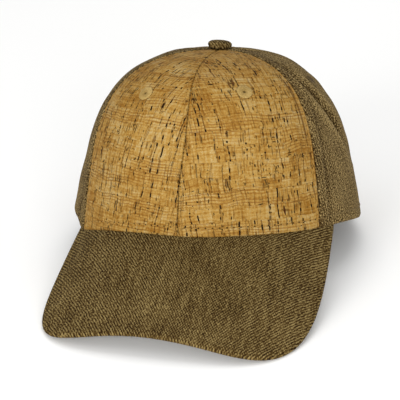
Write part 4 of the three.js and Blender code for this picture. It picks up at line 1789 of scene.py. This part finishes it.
@dataclass
class Visor:
    """The curved visor: one cover of cloth over its stiff core, with a rounded edge."""

    crown: CrownForm = field(default_factory=CrownForm)
    columns: int = 300
    rows: int = 78
    edge_rows: int = 12
    root_inset: float = 1.8
    ridge: Band = Band(3.1, 1.1, 0.21)
    swells: tuple[tuple[float, float, int], ...] = ((0.25, 40.0, 21), (0.05, 12.0, 22))
    sag: float = 0.25
    let_out: float = 1.0
    let_out_left: float = 0.3

    def let_out_line(self, line: np.ndarray, end_x: float) -> np.ndarray:
        """The outline moved outwards, more on the left, to make up for its rounded edge.

        Args:
            line: Points of the outline in plan, from its right end to its left.
            end_x: Half the distance between its ends.

        Returns:
            The moved points.
        """
        along = unit(np.gradient(line, axis=0))
        outward = np.stack([along[:, 1], -along[:, 0]], -1)
        share = line[:, :1] / end_x
        return line + outward * (self.let_out + self.let_out_left * share)

    def build(self, finishes: Finishes) -> Piece:
        """The visor: its section runs out along the top, round the edge and back underneath.

        In plan a section's point lies on the line from the outline to the root, a distance in from
        the outline: evenly spaced on the flat parts, and r(1 - sin a) with depth r(1 - cos a) round
        the edge.

        Args:
            finishes: The cap's materials.

        Returns:
            The piece.
        """
        form, crown = self.crown.visor, self.crown
        end = math.radians(form.end)
        end_x, end_y = (float(q) for q in crown.rim(np.array(end)))
        dense = np.linspace(-math.pi / 2, math.pi / 2, 4001)
        line = self.let_out_line(form.outline(dense, (end_x, end_y)), end_x)
        run = run_along(line)
        even = np.linspace(0.0, run[-1], self.columns + 1)
        edge = np.stack([np.interp(even, run, line[:, k]) for k in (0, 1)], -1)
        share = even / run[-1]
        root = np.stack(crown.rim(-end + 2 * end * share, self.root_inset), -1)
        inward = root - edge
        reach = np.linalg.norm(inward, axis=-1)
        radius = form.thick / 2
        turn = np.linspace(0.0, math.pi, self.edge_rows + 1)
        out = np.linspace(0.0, 1.0, self.rows + 1)[::-1]
        flat_in = radius + np.maximum(reach[:, None] - radius, 0.0) * out[None, :]
        around = np.broadcast_to(radius * (1.0 - np.sin(turn)), (len(even), len(turn)))
        scale = np.minimum(1.0, reach / (radius * 2))[:, None]
        distance = np.concatenate([flat_in, around[:, 1:-1] * scale, flat_in[:, ::-1]], 1)
        round_edge = np.broadcast_to(radius * (1.0 - np.cos(turn)), around.shape)[:, 1:-1]
        under = np.full_like(flat_in, form.thick)
        deep = np.concatenate([np.zeros_like(flat_in), round_edge, under], 1)
        distance = np.minimum(distance, reach[:, None])
        plan = edge[:, None] + unit(inward)[:, None] * distance[..., None]
        x, y = plan[..., 0], plan[..., 1]
        normal = form.normal(x, y)
        surface = np.stack([x, y, form.height(x, y)], -1)
        on_top = deep < radius * 0.6
        calm = smooth_share(distance, 1.0, 10.0)
        soft = sum(size * ripple(x, y, wave, seed) for size, wave, seed in self.swells)
        relief = self.ridge.across(distance) + calm * (soft - self.sag)
        height = on_top * relief - form.gap - deep
        points = surface + normal * height[..., None]
        count = points.shape[1]
        index = np.arange(points.shape[0] * count).reshape(points.shape[0], count)
        a, b, c, d = index[:-1, :-1], index[1:, :-1], index[1:, 1:], index[:-1, 1:]
        quads = [np.stack([d, c, b, a], -1).reshape(-1, 4)]
        quads.append(np.stack([index[:-1, 0], index[1:, 0], index[1:, -1], index[:-1, -1]], -1))
        half = count // 2
        for column, flip in ((0, True), (-1, False)):
            top_row = index[column, : half + 1]
            under = index[column, ::-1][: half + 1]
            strip = np.stack([top_row[:-1], top_row[1:], under[1:], under[:-1]], -1)
            quads.append(strip[:, ::-1] if flip else strip)
        faces = np.concatenate(quads)
        maps = {"Flat": plan.reshape(-1, 2)}
        cloth = [finishes.visor_cloth]
        piece = make_piece("visor_cover", points.reshape(-1, 3), faces, cloth, maps=maps)
        return dress(piece, "cloth", "visor")


@dataclass
class Button:
    """The cloth-covered button on top, with its shank through the gores."""

    crown: CrownForm = field(default_factory=CrownForm)
    radius: float = 7.3
    height: float = 4.8
    shank: float = 2.6
    shank_length: float = 5.0
    gap: float = 0.3
    tilt: float = 3.5
    weave_across: float = 0.75
    weave_forwards: float = 0.5
    weave_up: float = 0.8
    weave_at: float = 80.0
    roundness: tuple[float, float] = (0.3, 0.55)
    drawn_in: float = 0.012
    gathers: int = 9
    around: int = 96
    rings: int = 34

    def build(self, finishes: Finishes) -> Piece:
        """The button: a profile turned round its axis, with the cloth slightly drawn in below.

        Args:
            finishes: The cap's materials.

        Returns:
            The piece.
        """
        bend = np.linspace(-0.5, 0.5, self.rings) * math.pi
        dome_r = self.radius * np.cos(bend) ** np.where(bend < 0, *self.roundness)
        dome_z = self.height * (0.5 + 0.5 * np.sin(bend))
        keep = (dome_r > self.shank + 0.3) | (bend > 0)
        profile_r = np.concatenate([[self.shank, self.shank], dome_r[keep][:-1]])[:, None]
        profile_z = np.concatenate([[-self.shank_length, -0.02], dome_z[keep][:-1]])[:, None]
        angle = np.linspace(0.0, 2 * math.pi, self.around, endpoint=False)[None, :]
        below = profile_z < self.height * 0.45
        drawn = 1.0 - self.drawn_in * np.cos(self.gathers * angle) * below
        r = profile_r * drawn
        aside = np.append(r * np.cos(angle), [0.0, 0.0])
        back = np.append(r * np.sin(angle), [0.0, 0.0])
        over = np.append(profile_z + 0.0 * angle, [-self.shank_length, self.height])
        apex_x, apex_y = self.crown.apex
        seat = self.crown.height + self.gap
        flat_x = self.weave_across * (apex_x + aside) - self.weave_at
        flat_y = self.weave_forwards * (apex_y + back) + self.weave_up * (seat + over)
        turn = math.radians(self.tilt)
        x = apex_x + aside * math.cos(turn) + over * math.sin(turn)
        z = seat + over * math.cos(turn) - aside * math.sin(turn)
        piece = make_piece(
            "top_button_cover",
            np.stack([x, apex_y + back, z], -1),
            capped_tube(len(profile_r), self.around),
            [finishes.visor_cloth],
            maps={"Flat": np.stack([flat_x, flat_y], -1)},
        )
        return dress(piece, "cloth", "top_button")


@dataclass
class Strap:
    """One cloth end of the closing strap below the arch."""

    side: Side
    crown: CrownForm = field(default_factory=CrownForm)
    height: float = 24.0
    wall: float = 1.4
    inside: float = 2.2
    sewn_to: float = 61.0
    step: tuple[float, float] = (14.0, 37.0)
    lap: float = 13.0
    edge_round: float = 0.7
    edge_thickness: float = 0.1
    columns: int = 90
    rows: int = 30

    def build(self, finishes: Finishes) -> Piece:
        """The strap: a band on the crown's surface, the right one stepping out over the left.

        Args:
            finishes: The cap's materials.

        Returns:
            The piece.
        """
        left = self.side is Side.LEFT
        start, stop = (self.sewn_to, -self.lap) if left else (self.lap, -self.sewn_to)
        x = (start + (stop - start) * crowded(self.columns, 0.6))[:, None]
        v = crowded(self.rows, 0.6)[None, :]
        angle = self.crown.back_angle(x) + 0.0 * v
        share = v * self.crown.share_at_height(angle, np.array(self.height))
        inset = self.inside if left else self.inside * smooth_share(-x, *self.step)
        base = self.crown.point(angle, share)
        normal = self.crown.normal(angle, share)
        up = v * self.height
        from_edge = np.minimum(np.minimum(up, self.height - up), np.minimum(x - stop, start - x))
        square = np.maximum(1.0 - from_edge / self.edge_round, 0.0)
        half = self.wall / 2 * np.sqrt(np.maximum(1.0 - square**2, self.edge_thickness**2))
        middle = base - normal * (inset + self.wall / 2 + 0.0 * x)[..., None]
        outer, inner = middle + normal * half[..., None], middle - normal * half[..., None]
        points, quads, _ = grid_wall(outer, inner)
        name, maps = f"strap_{self.side.name.lower()}", {"Flat": both_sheets(x, up)}
        piece = make_piece(f"{name}_cloth", points, quads, [finishes.side_cloth], maps=maps)
        return dress(piece, "cloth", name)


@dataclass(frozen=True)
class Lamp:
    """A square soft lamp: its place and side in metres, and its power in watts."""

    name: str
    place: tuple[float, float, float]
    size: float
    power: float


@dataclass
class Studio:
    """A pale floor, soft light all round and a camera where the photograph's stood."""

    eye: tuple[float, float, float] = (168.17, -742.39, 354.92)
    azimuth: float = 13.062
    elevation: float = 22.62
    roll: float = -3.113
    lens: float = 123.7
    floor_half: float = 6.0
    floor_colour: str = "fdfdfc"
    daylight: float = 0.62
    aim: tuple[float, float, float] = (0.0, 0.0, 0.06)
    lamps: tuple[Lamp, ...] = (
        Lamp("key", (-0.6, -1.6, 0.5), 0.8, 17.0),
        Lamp("fill", (0.75, -1.55, 0.45), 0.8, 15.0),
        Lamp("top", (0.0, 0.9, 1.8), 1.4, 12.0),
    )

    def floor(self) -> None:
        """A plain pale floor at height 0."""
        h = self.floor_half
        mesh = bpy.data.meshes.new("floor")
        mesh.from_pydata([(-h, -h, 0), (h, -h, 0), (h, h, 0), (-h, h, 0)], [], [(0, 1, 2, 3)])
        material, tree = new_material("pale_floor")
        finish = {"Base Color": linear(self.floor_colour), "Roughness": 0.9}
        surface = add_node(tree, "BsdfPrincipled", finish)
        add_node(tree, "OutputMaterial", {0: surface})
        mesh.materials.append(material)
        floor = bpy.data.objects.new("floor", mesh)
        bpy.context.scene.collection.objects.link(floor)

    def lamp(self, lamp: Lamp) -> None:
        """Hangs a lamp so that it faces the cap.

        Args:
            lamp: The lamp.
        """
        data = bpy.data.lights.new(lamp.name, "AREA")
        data.size, data.energy = lamp.size, lamp.power
        hung = bpy.data.objects.new(lamp.name, data)
        hung.location = lamp.place
        aim = Vector(self.aim) - Vector(lamp.place)
        hung.rotation_mode = "QUATERNION"
        hung.rotation_quaternion = aim.to_track_quat("-Z", "Y")
        bpy.context.scene.collection.objects.link(hung)

    def camera(self) -> None:
        """The camera, turned by its azimuth, elevation and roll."""
        data = bpy.data.cameras.new("camera")
        data.lens, data.sensor_width = self.lens, 36.0
        data.clip_start, data.clip_end = 0.01, 100.0
        camera = bpy.data.objects.new("camera", data)
        turn = (
            Matrix.Rotation(math.radians(self.azimuth), 4, "Z")
            @ Matrix.Rotation(math.radians(90.0 - self.elevation), 4, "X")
            @ Matrix.Rotation(math.radians(self.roll), 4, "Z")
        )
        camera.matrix_world = Matrix.Translation(Vector(self.eye) * MM) @ turn
        bpy.context.scene.collection.objects.link(camera)
        bpy.context.scene.camera = camera

    def build(self) -> None:
        """The floor, the lamps, the light all round and the camera."""
        self.floor()
        for lamp in self.lamps:
            self.lamp(lamp)
        world = bpy.data.worlds.new("studio")
        world.use_nodes = True
        background = world.node_tree.nodes["Background"]
        background.inputs["Color"].default_value = WHITE
        background.inputs["Strength"].default_value = self.daylight
        bpy.context.scene.world = world
        bpy.context.scene.view_settings.view_transform = "Standard"
        self.camera()


@dataclass
class Cap:
    """The whole cap."""

    seams: tuple[Seam, ...] = (
        Seam(-180.0, -180.0),
        Seam(-120.0, -118.0),
        Seam(-55.6, -54.5),
        Seam(-4.4, -2.0, 2.1),
        Seam(54.5, 54.4),
        Seam(120.0, 118.0),
        Seam(180.0, 180.0),
    )
    places: tuple[tuple[Place, Side, AirHole], ...] = (
        (Place.BACK, Side.RIGHT, AirHole(-149.2)),
        (Place.SIDE, Side.RIGHT, AirHole(-86.0)),
        (Place.FRONT, Side.RIGHT, AirHole(-24.5, 0.81)),
        (Place.FRONT, Side.LEFT, AirHole(24.9, 0.83)),
        (Place.SIDE, Side.LEFT, AirHole(86.0)),
        (Place.BACK, Side.LEFT, AirHole(149.2)),
    )

    def build(self) -> None:
        """Builds every piece in order."""
        finishes = Finishes.make()
        for (place, side, hole), near, far in zip(self.places, self.seams, self.seams[1:]):
            gore = Gore(place, side, near, far, hole)
            gore.build(finishes)
            Eyelet(gore).build(finishes)
        Visor().build(finishes)
        Button().build(finishes)
        Strap(Side.LEFT).build(finishes)
        Strap(Side.RIGHT).build(finishes)


def main() -> None:
    """Builds the studio and the cap."""
    logging.basicConfig(level=logging.INFO, format="%(message)s")
    Studio().build()
    Cap().build()


if __name__ == "__main__":
    main()
